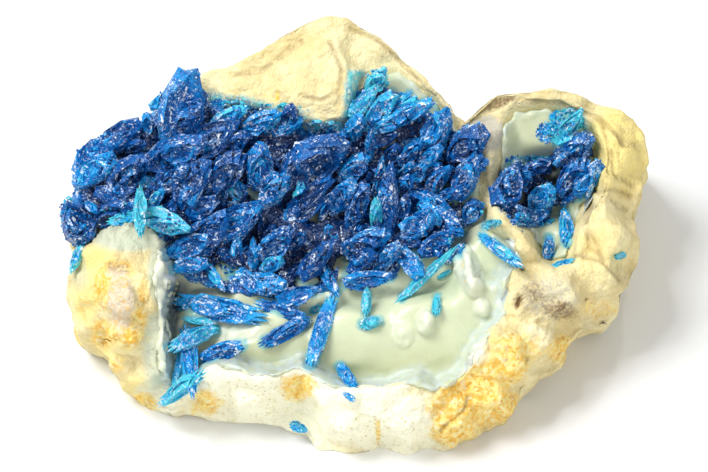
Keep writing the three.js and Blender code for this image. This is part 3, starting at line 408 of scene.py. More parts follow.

# Spots of the linings: column, row, half width, half height, and some with turn and strength
# Painted shadow on the linings: the deep gaps beside the knob, the pocket's shaded openings and the
# strip above the long blade
SHADOW_SPOTS = [
    (555, 178, 14, 18), (521, 196, 12, 10), (172, 318, 8, 24), (178, 292, 14, 12),
    (212, 292, 34, 5),
]
# Painted shade on the linings: olive along the front groove, in a druse opening, above the long blade
# and over the pocket wall
OLIVE_SHADE_LINE = [
    (180, 345), (215, 352), (250, 360), (280, 356), (310, 360), (345, 376), (400, 372), (440, 366),
]
OLIVE_SHADE_SPOTS = [(452, 196, 28, 14), (206, 286, 44, 20)]
OLIVE_SHADE_POCKET = (548, 150, 60, 60, 0, 0.8)
PALE_SPOTS = [
    (426, 322, 10, 15, 0, 0.75), (404, 335, 12, 14, 0, 0.3), (481, 307, 9, 10, 0, 0.6),
    (468, 268, 14, 32, -20, 0.8), (521, 247, 16, 15, 0, 0.5), (476, 358, 10, 20, 25, 0.8),
    (235, 332, 30, 14, 0, 0.6), (165, 300, 14, 60, 0, 0.7), (160, 370, 16, 24, 0, 0.3),
]

# Linings: name, region, middle, thickness, divisions and the edge of the hollow
LININGS = [
    ("cavity_lining", LINING_REGION, CAVITY_MIDDLE, 0.45, 7, CAVITY_EDGE),
    ("pocket_lining", POCKET_LINING_REGION, POCKET_MIDDLE, 0.35, 6, POCKET_EDGE),
]
# Druses: name, what the number of tiny crystals is divided by, and what grows there
DRUSES = [
    ("main_druse", 1, {
        "region": MAIN_CRUST_REGION, "middle": MAIN_CRUST_MIDDLE, "divisions": 6,
        "crystals": MAIN_CRYSTALS, "small": SMALL_CRYSTALS, "filling": 120,
        "patches": MAIN_PATCHES, "rim_tone": 0.45, "seed": 11,
    }),
    ("pocket_druse", 8, {
        "region": POCKET_CRUST_REGION, "middle": POCKET_CRUST_MIDDLE, "divisions": 5,
        "crystals": POCKET_CRYSTALS, "small": [], "filling": 9,
        "patches": POCKET_PATCHES, "rim_tone": 0.35, "seed": 12,
    }),
]
# How crystals are built up: number of side plates, share of angular plates, fan of the plates in
# degrees, and thickness as a share of the width
BUILDS = {
    "crowded": (3, 0.92, 26, 0.75), "wide": (1, 0.92, 26, 0.42), "filling": (1, 0.85, 30, 0.7),
    "small": (3, 0.2, 5, 0.46), "corner": (3, 0.2, 6, 0.46), "single": (2, 0.1, 4, 0.46),
    "speck": (1, 0.0, 5, 0.46),
}
# Blades, in half thicknesses: width of the chamfer, half height of the rim, rise of the middle
BLADE_INSET = 0.2
BLADE_RIM = 0.3
BLADE_CROWN = 0.22
# Limits of the random draws, as shares of the crystal's own size unless said otherwise. Turns are
# in degrees, tones from 0 to 1, squares are the survey's, and rises and sizes in millimetres.
BLADE = {"bend": (-0.06, 0.06), "taper": (-0.2, 0.1)}
PLATE = {
    "length": (0.42, 0.82), "slide": (-0.3, 0.3), "across": (-0.2, 0.2), "lift": (-0.12, 0.26),
    "turn": (-35, 35), "width": (0.45, 0.85), "thickness": (0.3, 0.6), "tone": (-0.12, 0.2),
    "bend": (-0.1, 0.1), "taper": (-0.4, 0.3),
}
# Heading: mean and spread in radians. Length: squares. Foot and tip: rise.
FILLING = {
    "heading": (math.radians(50), 0.9), "length": (12, 26), "foot_rise": (0.2, 0.5),
    "tip_rise": (0.5, 1.2), "width": (0.4, 0.7), "turn": (-40, 40),
}
TINY = {"upright": (-0.1, 0.6), "width": (0.45, 0.85), "thickness": (0.4, 0.7)}
PATCH = {"rise": (0.0, 0.08), "length": (0.14, 0.36), "width": (0.4, 0.7)}
TINY_SIZES = (0.07, 0.27)
GRAIN_SIZES = (0.04, 0.12)
TINY_FACING = -0.1
CORNER_GRAINS = 260
CORNER_TONE = 0.7
# Tones of the filling and of the tiny crystals, with the share of each
FILLING_TONES = ([0.05, 0.2, 0.4, 0.6], [0.4, 0.35, 0.2, 0.05])
TINY_TONES = ([0.03, 0.15, 0.3, 0.5], [0.5, 0.3, 0.15, 0.05])

# Looks: colours that aren't settings, and how far patterns are drawn out across and along blades
DEEP_STAIN = (0.01, 0.30, 0.50)
# Painted shadow colour for the linings' deep gaps
PAINTED_SHADOW = (0.03, 0.05, 0.06)
WAXY_WHITE = (1.0, 1.0, 0.95)
# Painted highlights on the crystals: sparkle, glint and flare colours
PAINTED_SPARKLE = (0.44, 0.58, 0.80)
PAINTED_GLINT = (0.74, 0.84, 0.96)
PAINTED_FLARE = (0.86, 0.92, 0.99)
LAY_SPREAD = 7.3
STREAK_STRETCH = (9.0, 2.4, 9.0)
# How far the painted flare highlights are drawn out along the blades
FLARE_HIGHLIGHT_STRETCH = (5.0, 1.4, 5.0)

# Stage: lens, sensor and camera distance in millimetres, half the floor in metres, and lamps with
# their name, direction, distance and size in metres, and the setting that holds the power
LENS = 500
SENSOR = 36
CAMERA_DISTANCE = 411
AIM_HEIGHT = 5
FLOOR_HALF = 0.6
LAMPS = [
    ("key", (-0.55, -0.05, 1.0), 0.16, 0.08, "key_power"),
    ("fill", (0.4, -0.8, 0.55), 0.25, 0.16, "fill_power"),
    ("glint_1", (-0.3, -0.1, 1.0), 0.2, 0.012, "glint_power"),
    ("glint_2", (0.25, 0.55, 1.0), 0.2, 0.012, "glint_power"),
    ("glint_3", (-0.7, -0.4, 0.8), 0.2, 0.012, "glint_power"),
]


def to_world(column, row, out):
    across = (column - GRID_CENTRE[0]) * GRID
    up = (GRID_CENTRE[1] - row) * GRID
    y = up * DOWN - out * ACROSS + ORIGIN_SHIFT_Y
    return np.stack([across, y, up * ACROSS + out * DOWN], axis=-1)


def smooth_step(low, high, value):
    t = np.clip((value - low) / (high - low), 0, 1)
    return t * t * (3 - 2 * t)


def line_distance(line, x, y, closed=False):
    """Distance of points from a line of corners."""
    start = np.array(line, float)
    end = np.roll(start, -1, axis=0)
    if not closed:
        start, end = start[:-1], end[:-1]
    nearest = np.full(x.shape, np.inf)
    for (ax, ay), (bx, by) in zip(start, end):
        ex, ey = bx - ax, by - ay
        t = np.clip(((x - ax) * ex + (y - ay) * ey) / (ex * ex + ey * ey), 0, 1)
        nearest = np.minimum(nearest, np.hypot(x - ax - t * ex, y - ay - t * ey))
    return nearest


def inside_distance(outline, x, y):
    """Distance from a closed outline, positive inside it."""
    inside = np.zeros(x.shape, bool)
    for i, (bx, by) in enumerate(outline):
        ax, ay = outline[i - 1]
        crosses = (ay > y) != (by > y)
        if ay != by:
            inside ^= crosses & (x < ax + (bx - ax) * (y - ay) / (by - ay))
    return np.where(inside, 1, -1) * line_distance(outline, x, y, closed=True)


def between_spots(spots, x, y):
    total = np.zeros(x.shape)
    weights = np.zeros(x.shape)
    for spot_x, spot_y, height in spots:
        away = (x - spot_x) ** 2 + (y - spot_y) ** 2
        weight = (away + SURVEY_REACH ** 2) ** SURVEY_FALLOFF
        total += weight * height
        weights += weight
    return total / weights


def oval(x, y, column, row, half_width, half_height, turn=0):
    """Distance from an oval's middle, 1 on its edge."""
    angle = math.radians(turn)
    dx, dy = x - column, y - row
    across = (dx * math.cos(angle) + dy * math.sin(angle)) / half_width
    along = (dy * math.cos(angle) - dx * math.sin(angle)) / half_height
    return np.hypot(across, along)


def spot_share(spots, x, y, outer, inner):
    """The strongest of a list of ovals at points. An oval may end with its turn and strength."""
    share = np.zeros(x.shape)
    for column, row, half_width, half_height, *more in spots:
        turn, strength = more or (0, 1.0)
        away = oval(x, y, column, row, half_width, half_height, turn)
        share = np.maximum(share, strength * smooth_step(outer, inner, away))
    return share


def hollow_share(x, y):
    cavity = smooth_step(-EDGE_SOFTNESS, EDGE_SOFTNESS, inside_distance(CAVITY_EDGE, x, y))
    pocket = smooth_step(-EDGE_SOFTNESS, EDGE_SOFTNESS, inside_distance(POCKET_EDGE, x, y))
    return np.maximum(cavity, pocket)


def ground_out(x, y):
    """How far the ground, rock or lining, stands out at survey points."""
    x, y = np.asarray(x, float), np.asarray(y, float)
    hollow = hollow_share(x, y)
    outer = between_spots(OUTER_SPOTS, x, y)
    inner = between_spots(INNER_SPOTS, x, y)
    rise = outer + (inner - outer) * hollow
    for *place, height in LOBES:
        away = oval(x, y, *place)
        rise += height * np.maximum(0, 1 - away ** 2) ** LOBE_ROUNDNESS
    return rise


def reach_at(outline, middle, angle):
    """Distance from a region's middle to its edge in each direction."""
    least_cross = 1e-12
    dx, dy = np.cos(angle), -np.sin(angle)
    reach = np.zeros(angle.shape)
    for i, corner in enumerate(outline):
        before = outline[i - 1]
        ax, ay = before[0] - middle[0], before[1] - middle[1]
        ex, ey = corner[0] - before[0], corner[1] - before[1]
        cross = dx * ey - dy * ex
        cross = np.where(np.abs(cross) < least_cross, least_cross, cross)
        distance = (ax * ey - ay * ex) / cross
        side = (ax * dy - ay * dx) / cross
        reach = np.where((side >= 0) & (side <= 1), np.maximum(reach, distance), reach)
    return reach


def soft_reach(outline, middle, angle, steps=721, window_steps=27):
    """The reach in each direction, evened out so that a sheet over the region has no folds."""
    turns = np.linspace(-math.pi, math.pi, steps)
    reach = reach_at(outline, middle, turns)
    window = np.hanning(window_steps)[1:-1]
    half = len(window) // 2
    padded = np.concatenate([reach[-half - 1:-1], reach, reach[1:half + 1]])
    return np.interp(angle, turns, np.convolve(padded, window / window.sum(), "valid"))


def rounded(outline, steps=6):
    """A closed outline with its corners rounded by a curve through all of them."""
    points = [np.array(p, float) for p in outline]
    count = len(points)
    curve = []
    for i in range(count):
        p = [points[(i + k - 1) % count] for k in range(4)]
        t = [0.0]
        for k in range(3):
            t.append(t[-1] + math.sqrt(np.linalg.norm(p[k + 1] - p[k])))
        for step in range(steps):
            s = t[1] + (t[2] - t[1]) * step / steps
            a = [((t[k + 1] - s) * p[k] + (s - t[k]) * p[k + 1]) / (t[k + 1] - t[k]) for k in range(3)]
            b = [((t[k + 2] - s) * a[k] + (s - t[k]) * a[k + 1]) / (t[k + 2] - t[k]) for k in range(2)]
            point = ((t[2] - s) * b[0] + (s - t[1]) * b[1]) / (t[2] - t[1])
            curve.append((float(point[0]), float(point[1])))
    return curve


def noise_at(points, wave, shift=0.0):
    """Smooth noise of about -1 to 1 at points, with its wavelength in millimetres."""
    scaled = (points / wave + shift).tolist()
    return np.array([noise.noise(p) for p in scaled])


def flat_points(column, row):
    return np.stack([column, row, np.zeros(column.shape)], axis=-1)


def cells_at(points, size, shift=0.0):
    """Distance to the middle of the nearest cell, and to the edge between it and the next."""
    scaled = (points / size + shift).tolist()
    found = [noise.voronoi(p)[0] for p in scaled]
    nearest = np.array([f[0] for f in found])
    second = np.array([f[1] for f in found])
    return nearest, second - nearest


def lumps_at(points, size, shift=0.0, level=0.5):
    """Round lumps: their height at points above or below a level, as a share of their size."""
    return level - cells_at(points, size, shift)[0]


def mesh_from(bm, name):
    mesh = bpy.data.meshes.new(name)
    bm.to_mesh(mesh)
    bm.free()
    return mesh


def ball(subdivisions, cuts=0):
    """An evenly divided ball as a mesh, with its corners as directions."""
    bm = bmesh.new()
    bmesh.ops.create_icosphere(bm, subdivisions=subdivisions, radius=1.0)
    if cuts:
        bmesh.ops.subdivide_edges(bm, edges=bm.edges[:], cuts=cuts, use_grid_fill=True)
        bmesh.ops.triangulate(bm, faces=bm.faces[:])
    mesh = mesh_from(bm, "ball")
    directions = corners_of(mesh)
    return mesh, directions / np.linalg.norm(directions, axis=1)[:, None]


def around(directions):
    """The angle of each direction from straight out, and its angle about that line."""
    from_front = np.arccos(np.clip(directions[:, 2], -1, 1))
    return from_front, np.arctan2(directions[:, 1], directions[:, 0])


def corners_of(mesh):
    flat = np.empty(len(mesh.vertices) * 3, np.float32)
    mesh.vertices.foreach_get("co", flat)
    return flat.reshape(-1, 3).astype(float)


def normals_of(mesh):
    flat = np.empty(len(mesh.vertices) * 3, np.float32)
    mesh.vertex_normals.foreach_get("vector", flat)
    return flat.reshape(-1, 3).astype(float)


def put_corners(mesh, points):
    mesh.vertices.foreach_set("co", np.asarray(points, np.float32).ravel())
    mesh.update()


def put_values(mesh, name, values):
    layer = mesh.attributes.new(name, "FLOAT", "POINT")
    layer.data.foreach_set("value", np.asarray(values, np.float32))


def put_vectors(mesh, name, values):
    layer = mesh.attributes.new(name, "FLOAT_VECTOR", "POINT")
    layer.data.foreach_set("vector", np.asarray(values, np.float32).ravel())


def show(name, mesh, material, replaced=(), smooth=True):
    """Turns a mesh into a finished piece of the specimen."""
    mesh.name = name
    mesh.transform(Matrix.Scale(MM, 4))
    mesh.polygons.foreach_set("use_smooth", [smooth] * len(mesh.polygons))
    mesh.materials.append(material)
    piece = bpy.data.objects.new(name, mesh)
    bpy.context.scene.collection.objects.link(piece)
    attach(piece, "root")
    if replaced:
        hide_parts(*replaced)
    return piece


# Shader building
class Term:
    """A shader value that can stand in a Python expression."""

    def __init__(self, shader, socket):
        self.shader = shader
        self.socket = socket

    def math(self, operation, *others, clamp=False):
        return self.shader.math(operation, self, *others, clamp=clamp)

    def __add__(self, other):
        return self.math("ADD", other)

    def __radd__(self, other):
        return self.shader.math("ADD", other, self)

    def __sub__(self, other):
        return self.math("SUBTRACT", other)

    def __rsub__(self, other):
        return self.shader.math("SUBTRACT", other, self)

    def __mul__(self, other):
        return self.math("MULTIPLY", other)

    def __rmul__(self, other):
        return self.shader.math("MULTIPLY", other, self)

    def clamp(self):
        return self.math("ADD", 0.0, clamp=True)

    def step(self, low, high):
        """0 below low, 1 above high and smooth between."""
        found = self.shader.node(
            "ShaderNodeMapRange", {"interpolation_type": "SMOOTHSTEP"},
            {"Value": self, "From Min": low, "From Max": high},
        )
        return Term(self.shader, found.outputs["Result"])


class Shader:
    """A material that is built up one node at a time."""

    def __init__(self, name, **constants):
        self.material = bpy.data.materials.new(name)
        self.material.use_nodes = True
        self.tree = self.material.node_tree
        self.tree.nodes.clear()
        self.surface = self.node("ShaderNodeBsdfPrincipled", {}, constants)
        output = self.node("ShaderNodeOutputMaterial", {}, {})
        self.tree.links.new(self.surface.outputs[0], output.inputs["Surface"])
        place = self.node("ShaderNodeTexCoord", {}, {}).outputs["Object"]
        self.place = self.vector("SCALE", place, scale=1 / MM)

    def node(self, kind, settings, sockets):
        made = self.tree.nodes.new(kind)
        for name, value in settings.items():
            setattr(made, name, value)
        for name, value in sockets.items():
            self.join(made.inputs[name], value)
        return made

    def join(self, place, value):
        if isinstance(value, Term):
            value = value.socket
        if isinstance(value, bpy.types.NodeSocket):
            self.tree.links.new(value, place)
        else:
            place.default_value = value

    def set(self, name, value):
        self.join(self.surface.inputs[name], value)

    def math(self, operation, *values, clamp=False):
        made = self.node("ShaderNodeMath", {"operation": operation, "use_clamp": clamp}, {})
        for place, value in zip(made.inputs, values):
            self.join(place, value)
        return Term(self, made.outputs[0])

    def vector(self, operation, *values, scale=None):
        made = self.node("ShaderNodeVectorMath", {"operation": operation}, {})
        for place, value in zip(made.inputs, values):
            self.join(place, value)
        if scale is not None:
            self.join(made.inputs["Scale"], scale)
        return made.outputs[0]

    def mix(self, share, first, second):
        made = self.node("ShaderNodeMix", {"data_type": "RGBA", "clamp_factor": True}, {})
        for number, value in ((0, share), (6, first), (7, second)):
            if not isinstance(value, (Term, bpy.types.NodeSocket, float, int)):
                value = (*value[:3], 1.0)
            self.join(made.inputs[number], value)
        return made.outputs[2]

    def over(self, colour, target, value, low, high, amount=1.0):
        """Lays an amount of a target colour over another where a value passes from low to high."""
        return self.mix(value.step(low, high) * amount, colour, target)

    def attribute(self, name):
        found = self.node("ShaderNodeAttribute", {"attribute_name": name}, {})
        return Term(self, found.outputs["Fac"])

    def attribute_vector(self, name):
        return self.node("ShaderNodeAttribute", {"attribute_name": name}, {}).outputs["Vector"]

    def noise(self, wave, detail=2.0, roughness=0.5, place=None):
        """Smooth noise from 0 to 1 with its wavelength in millimetres."""
        found = self.node(
            "ShaderNodeTexNoise", {},
            {
                "Vector": self.place if place is None else place, "Scale": 1 / wave,
                "Detail": detail, "Roughness": roughness,
            },
        )
        return Term(self, found.outputs[0])

    def cells(self, size):
        """Cells of a size in millimetres: the node, with its distance and its random colour."""
        return self.node("ShaderNodeTexVoronoi", {}, {"Vector": self.place, "Scale": 1 / size})

    def distance(self, size):
        return Term(self, self.cells(size).outputs["Distance"])

    def picks(self, size, *channels):
        """Random values from 0 to 1, each the same all over a cell."""
        colour = self.cells(size).outputs["Color"]
        parts = self.node("ShaderNodeSeparateColor", {}, {"Color": colour})
        return [Term(self, parts.outputs[channel]) for channel in channels]

    def bump(self, height, distance, strength):
        sockets = {"Height": height, "Distance": distance * MM, "Strength": strength}
        return self.node("ShaderNodeBump", {}, sockets).outputs[0]

    def tilted(self, cells, amount, normal):
        """A normal, turned by a random tilt in each cell."""
        off = self.vector("SUBTRACT", cells, (0.5, 0.5, 0.5))
        turned = self.vector("ADD", normal, self.vector("SCALE", off, scale=amount))
        return self.vector("NORMALIZE", turned)


def colour_property(name, description, default):
    return FloatVectorProperty(
        name=name, description=description, default=default, subtype="COLOR", min=0, max=1,
    )


def length_property(name, description, default):
    return FloatProperty(
        name=name, description=description, default=default * MM, subtype="DISTANCE",
        unit="LENGTH", precision=6, min=0,
    )


def power_property(name, description, default):
    return FloatProperty(
        name=name, description=description, default=default, unit="POWER", subtype="POWER", min=0,
    )


class RockSettings(bpy.types.PropertyGroup):
    lump_rise: length_property("Lump rise", "Height of the rock's lumps", 0.19)
    grain_rise: length_property("Grain rise", "Height of the rock's grains", 0.035)
    base: colour_property("Base", "Colour of the clean rock", (0.87, 0.775, 0.46))
    yellow: colour_property("Yellow", "Colour of the yellow faces", (0.92, 0.76, 0.29))
    cream: colour_property("Cream", "Colour of the powdery rim", (0.95, 0.925, 0.71))
    ochre: colour_property("Ochre", "Colour of the ochre crust", (0.88, 0.50, 0.07))
    brown: colour_property("Brown", "Colour of the brown stains", (0.22, 0.13, 0.06))
    pink: colour_property("Core", "Colour of the core of the left knob", (0.68, 0.54, 0.38))
    grey: colour_property("Grey", "Colour of the grey grains", (0.55, 0.52, 0.42))
    skin: colour_property("Skin", "Colour of the greenish skin on the rock", (0.58, 0.61, 0.46))
    stain: colour_property("Stain", "Colour of the turquoise stain", (0.03, 0.52, 0.60))


class LiningSettings(bpy.types.PropertyGroup):
    lobe_rise: length_property("Lobe rise", "Height of the lining's small lobes", 0.05)
    base: colour_property("Base", "Colour of the smooth lining", (0.66, 0.71, 0.48))
    # The olive colour is painted shade, laid where the linings lie in shadow
    olive: colour_property("Olive", "Colour of the lining's hollows", (0.47, 0.49, 0.28))
    band: colour_property("Band", "Colour of the lining's glassy edge", (0.60, 0.69, 0.65))
    pale: colour_property("Pale", "Colour of the lining's pale lobes", (0.82, 0.84, 0.70))
    stain: colour_property("Stain", "Colour of the stain round the crystals", (0.05, 0.45, 0.52))


class CrystalSettings(bpy.types.PropertyGroup):
    tiny_count: IntProperty(
        name="Tiny crystals", description="Number of tiny crystals on the main druse",
        default=6200, min=0, max=6500,
    )
    deep: colour_property("Deep", "Colour of the darkest crystals", (0.0006, 0.014, 0.075))
    royal: colour_property("Royal", "Colour of the blue crystals", (0.002, 0.095, 0.37))
    azure: colour_property("Azure", "Colour of the light blue crystals", (0.006, 0.30, 0.72))
    cyan: colour_property("Cyan", "Colour of the palest crystals", (0.06, 0.56, 0.72))
    sparkle: FloatProperty(
        name="Sparkle", description="Tilt of the smallest facets", default=0.6, subtype="FACTOR",
        min=0, max=1,
    )


class StageSettings(bpy.types.PropertyGroup):
    key_power: power_property("Key power", "Power of the large soft lamp", 0.205)
    fill_power: power_property("Fill power", "Power of the soft lamp in front", 0.135)
    glint_power: power_property("Glint power", "Power of each small lamp", 0.03)
    sky: FloatProperty(
        name="Sky", description="Brightness of the room around", default=0.52, min=0,
    )
    floor: colour_property("Floor", "Colour of the floor", (0.82, 0.83, 0.84))


def zone_values(x, y):
    """Strength of each kind of colour zone at survey points."""
    kinds = {}
    for kind, *spot in ROCK_ZONES:
        kinds.setdefault(kind, []).append(spot)
    return {kind: spot_share(spots, x, y, *ZONE_EDGE) for kind, spots in kinds.items()}


def rock_wall(front, angle, down):
    """The walls behind the rim, which fall towards the foot and bulge a little on their way."""
    fall = (front[:, 2] + BASE_DEPTH) / DOWN
    foot = front - OUTWARD * fall[:, None]
    limit = BACK_LIMIT_Y + ORIGIN_SHIFT_Y
    foot[:, 1] = np.minimum(foot[:, 1], np.maximum(limit, front[:, 1]))
    foot[:, 0] *= FOOT_NARROWING
    wall = front + (foot - front) * down[:, None]
    bulge = np.sin(math.pi * down)
    wall[:, 0] += SIDE_BULGE * np.sin(SIDE_WAVES * angle) * bulge
    wall[:, 1] += BACK_BULGE * bulge * np.maximum(0, np.sin(angle))
    wall[:, 2] -= WALL_SAG * bulge
    return wall


def rock_stain(column, row):
    """How strongly the rock is stained turquoise near the druses."""
    stain = 0.9 * spot_share(PATCH_OVALS, column, row, *ROCK_PATCH_EDGE)
    for line, half_width in STAIN_LINES:
        away = line_distance(line, column, row)
        stain = np.maximum(stain, smooth_step(1.8 * half_width, 0, away))
    for region, reach in STAIN_REGIONS:
        inside = inside_distance(region, column, row)
        stain = np.maximum(stain, 0.6 * smooth_step(-reach, 2, inside))
    return stain


def rock_relief(settings, point, rough):
    """Height of the lumps, grains and pores of broken rock."""
    lump = settings.lump_rise / MM
    grain = settings.grain_rise / MM
    rise = np.zeros(len(point))
    for wave, shift, lumps, grains, roughs in ROCK_WAVES:
        rise += (lumps * lump + grains * grain + roughs * rough) * noise_at(point, wave, shift)
    for size, shift, level, groove, lumps, grains, roughs in ROCK_LUMPS:
        nearest, border = cells_at(point, size, shift)
        rise += (lumps * lump + grains * grain + roughs * rough) * (level - nearest)
        rise -= groove * lump * smooth_step(0.1, 0.0, border)
    pores = np.maximum(0, noise_at(point, PORE_WAVE, PORE_SHIFT) - PORE_LEVEL)
    return rise - PORE_DEPTH * rough * pores


def rock_mesh(settings):
    """The whole rock: its front is laid over the surveyed ground and its back closes down."""
    mesh, directions = ball(6, cuts=2)
    from_front, angle = around(directions)
    reach = reach_at(rounded(ROCK_OUTLINE), ROCK_MIDDLE, angle)
    spread = np.minimum(1, np.sin(from_front / 2) / math.sin(RIM_ANGLE / 2))
    column = ROCK_MIDDLE[0] + spread * reach * np.cos(angle)
    row = ROCK_MIDDLE[1] - spread * reach * np.sin(angle)
    lined = np.maximum(
        smooth_step(0, LINED_REACH, inside_distance(LINING_REGION, column, row)),
        smooth_step(0, POCKET_LINED_REACH, inside_distance(POCKET_LINING_REGION, column, row)),
    )
    front = to_world(column, row, ground_out(column, row) - UNDER_LINING * lined)
    behind = from_front > RIM_ANGLE
    share = np.clip((from_front - RIM_ANGLE) / (math.pi - RIM_ANGLE), 0, 1)
    down = np.minimum(1, share / WALL_SHARE)
    inward = np.clip((share - WALL_SHARE) / (1 - WALL_SHARE), 0, 1)
    wall = rock_wall(front, angle, down)
    foot_middle = np.array([0.0, FOOT_MIDDLE_Y + ORIGIN_SHIFT_Y, -BASE_DEPTH])
    wall += (foot_middle - wall) * inward[:, None]
    point = np.where(behind[:, None], wall, front)
    put_corners(mesh, point)
    normals = normals_of(mesh)

    zones = zone_values(column, row)
    bare = 1 - hollow_share(column, row) * ~behind
    rough = np.clip(zones["ochre"] + zones["pink"] + zones["rough"], 0, 1)
    rise = rock_relief(settings, point, rough)
    back = behind * smooth_step(0.0, BACK_START, down)
    swell = noise_at(point, *BACK_NOISE) + 0.6 * lumps_at(point, *BACK_LUMPS)
    rise += BACK_RISE * back * swell
    rise *= (HOLLOW_RELIEF + (1 - HOLLOW_RELIEF) * bare) * (1 - LINED_SMOOTHING * lined)
    rise += SKIN_RISE * zones["skin"] * lumps_at(point, SKIN_SIZE, SKIN_SHIFT, SKIN_LEVEL)
    for *place, depth in ROCK_PITS:
        rise -= depth * smooth_step(*PIT_EDGE, oval(column, row, *place)) * ~behind
    crease = np.zeros(len(point))
    for line, half_width, depth in ROCK_CREASES:
        away = line_distance(line, column, row)
        closeness = smooth_step(CREASE_REACH * half_width, 0, away) * ~behind
        rise -= depth * closeness
        crease = np.maximum(crease, closeness)
    point += normals * rise[:, None]
    put_corners(mesh, point)

    fade = np.where(behind, 1 - BACK_FADE * smooth_step(0, 0.5, down), 1.0)
    zones = {kind: zones[kind] * fade for kind in (*ZONE_FADES, "dots")}
    for kind, wave, shift, start, strength in BACK_PATCHES:
        patch = strength * back * smooth_step(start, 0.5, noise_at(point, wave, shift))
        zones[kind] = np.maximum(zones[kind], patch)
    zones["stain"] = rock_stain(column, row) * ~behind
    zones["crease"] = crease
    for kind, values in zones.items():
        put_values(mesh, kind, values)
    return mesh


def rest_flat(mesh):
    """Takes away what lies below the ground and closes the rock with a flat underside."""
    bm = bmesh.new()
    bm.from_mesh(mesh)
    whole = bm.verts[:] + bm.edges[:] + bm.faces[:]
    bmesh.ops.bisect_plane(
        bm, geom=whole, plane_co=(0, 0, 0), plane_no=(0, 0, 1), clear_inner=True,
    )
    rim = [edge for edge in bm.edges if edge.is_boundary]
    filled = bmesh.ops.holes_fill(bm, edges=rim, sides=0)
    bmesh.ops.triangulate(bm, faces=filled["faces"])
    bmesh.ops.recalc_face_normals(bm, faces=bm.faces[:])
    bm.to_mesh(mesh)
    bm.free()


def rock_material(settings):
    shader = Shader("rock", Roughness=0.9, **{"Specular IOR Level": 0.25})
    coarse = shader.noise(wave=1.6, detail=3)
    middle = shader.noise(wave=0.5, detail=4, roughness=0.6)
    fine = shader.noise(wave=0.12, detail=3, roughness=0.6)
    pick, other = shader.picks(0.15, "Red", "Green")
    clean, yellow, cream, brown = settings.base, settings.yellow, settings.cream, settings.brown
    even = middle * 0.5 + fine * 0.5

    def zone(kind, colour, target, by=middle):
        start, full, raggedness = ZONE_FADES[kind]
        strength = shader.attribute(kind)
        share = (strength + (by - 0.5) * raggedness).step(start, full)
        return shader.mix(share * strength.step(0.02, 0.2), colour, target)

    shade = tuple(share * c for share, c in zip((0.84, 0.78, 0.66), clean))
    colour = shader.over(shade, clean, coarse * 0.5 + middle * 0.3 + fine * 0.2, 0.42, 0.58)
    colour = zone("yellow", colour, yellow)
    colour = zone("white", colour, cream)
    colour = zone("skin", colour, settings.skin)
    colour = zone("grey", colour, settings.grey, fine)

    crust = pick * 0.25 + middle * 0.45 + fine * 0.3
    crust = shader.over(settings.ochre, yellow, crust, 0.36, 0.62)
    crust = shader.over(crust, cream, other, 0.8, 0.95, 0.45)
    crust = shader.over(crust, brown, 1 - pick, 0.88, 0.98, 0.25)
    colour = zone("ochre", colour, crust, middle * 0.7 + fine * 0.3)

    core = shader.over(settings.pink, cream, fine, 0.4, 0.65, 0.5)
    core = shader.over(core, settings.ochre, 1 - other, 0.75, 0.9, 0.5)
    core = shader.over(core, brown, fine, 0.58, 0.7, 0.4)
    colour = zone("pink", colour, core, even)

    dot = (0.38 - shader.distance(0.2)).step(0.0, 0.12) * shader.attribute("dots")
    dot = dot * middle.step(0.38, 0.56) * pick.step(0.1, 0.4)
    colour = shader.mix(dot * 0.8, colour, tuple(0.66 * c for c in yellow))
    colour = zone("brown", colour, brown, even)
    crease = shader.attribute("crease") * 0.6 * middle.step(0.3, 0.6)
    colour = shader.mix(crease, colour, brown)

    edge = shader.attribute("stain")
    stain = (edge + (middle - 0.5) * 1.2).step(0.5, 1.2) * edge.step(0.02, 0.2)
    turquoise = shader.over(settings.stain, DEEP_STAIN, pick, 0.55, 0.75)
    turquoise = shader.over(turquoise, cream, other, 0.82, 0.92, 0.6)
    colour = shader.mix(stain * 0.92, colour, turquoise)
    colour = shader.over(colour, yellow, middle, 0.6, 0.75, 0.3)
    colour = shader.over(colour, cream, fine, 0.62, 0.75, 0.3)
    shader.set("Base Color", colour)
    height = even + shader.distance(0.13) * 0.4
    shader.set("Normal", shader.bump(height, distance=0.11, strength=0.75))
    return shader.material


class SPECIMEN_OT_rock(bpy.types.Operator):
    """Models the rock"""

    bl_idname = "specimen.rock"
    bl_label = "Rock"

    def execute(self, context):
        settings = context.scene.specimen_rock
        mesh = rock_mesh(settings)
        rest_flat(mesh)
        show("matrix", mesh, rock_material(settings), ["matrix"])
        return {"FINISHED"}


def sheet_mesh(region, middle, subdivisions, upper, lower, growth=2.0):
    """A closed sheet over a region: its faces are given as heights above the ground."""
    mesh, directions = ball(subdivisions)
    from_front, angle = around(directions)
    front = from_front <= math.pi / 2
    share = np.where(front, from_front, math.pi - from_front) / (math.pi / 2)
    spread = np.clip(share, 0, 1) ** 0.8
    reach = soft_reach(rounded(region), middle, angle) + growth
    column = middle[0] + spread * reach * np.cos(angle)
    row = middle[1] - spread * reach * np.sin(angle)
    fullness = smooth_step(1.0, 0.8, spread)
    rise = np.where(front, upper(column, row, fullness), lower(column, row, fullness))
    put_corners(mesh, to_world(column, row, ground_out(column, row) + rise))
    return mesh, column, row, front, spread


def lining_stain(column, row):
    """How strongly the lining is stained turquoise round the crystals."""
    stain = spot_share(PATCH_OVALS, column, row, *LINING_PATCH_EDGE)
    for crystal in ALL_CRYSTALS:
        foot, tip, width = crystal[:2], crystal[3:5], crystal[6]
        away = line_distance([foot, tip], column, row) - width * 0.35
        stain = np.maximum(stain, smooth_step(STAIN_REACH, 0, away))
    return stain


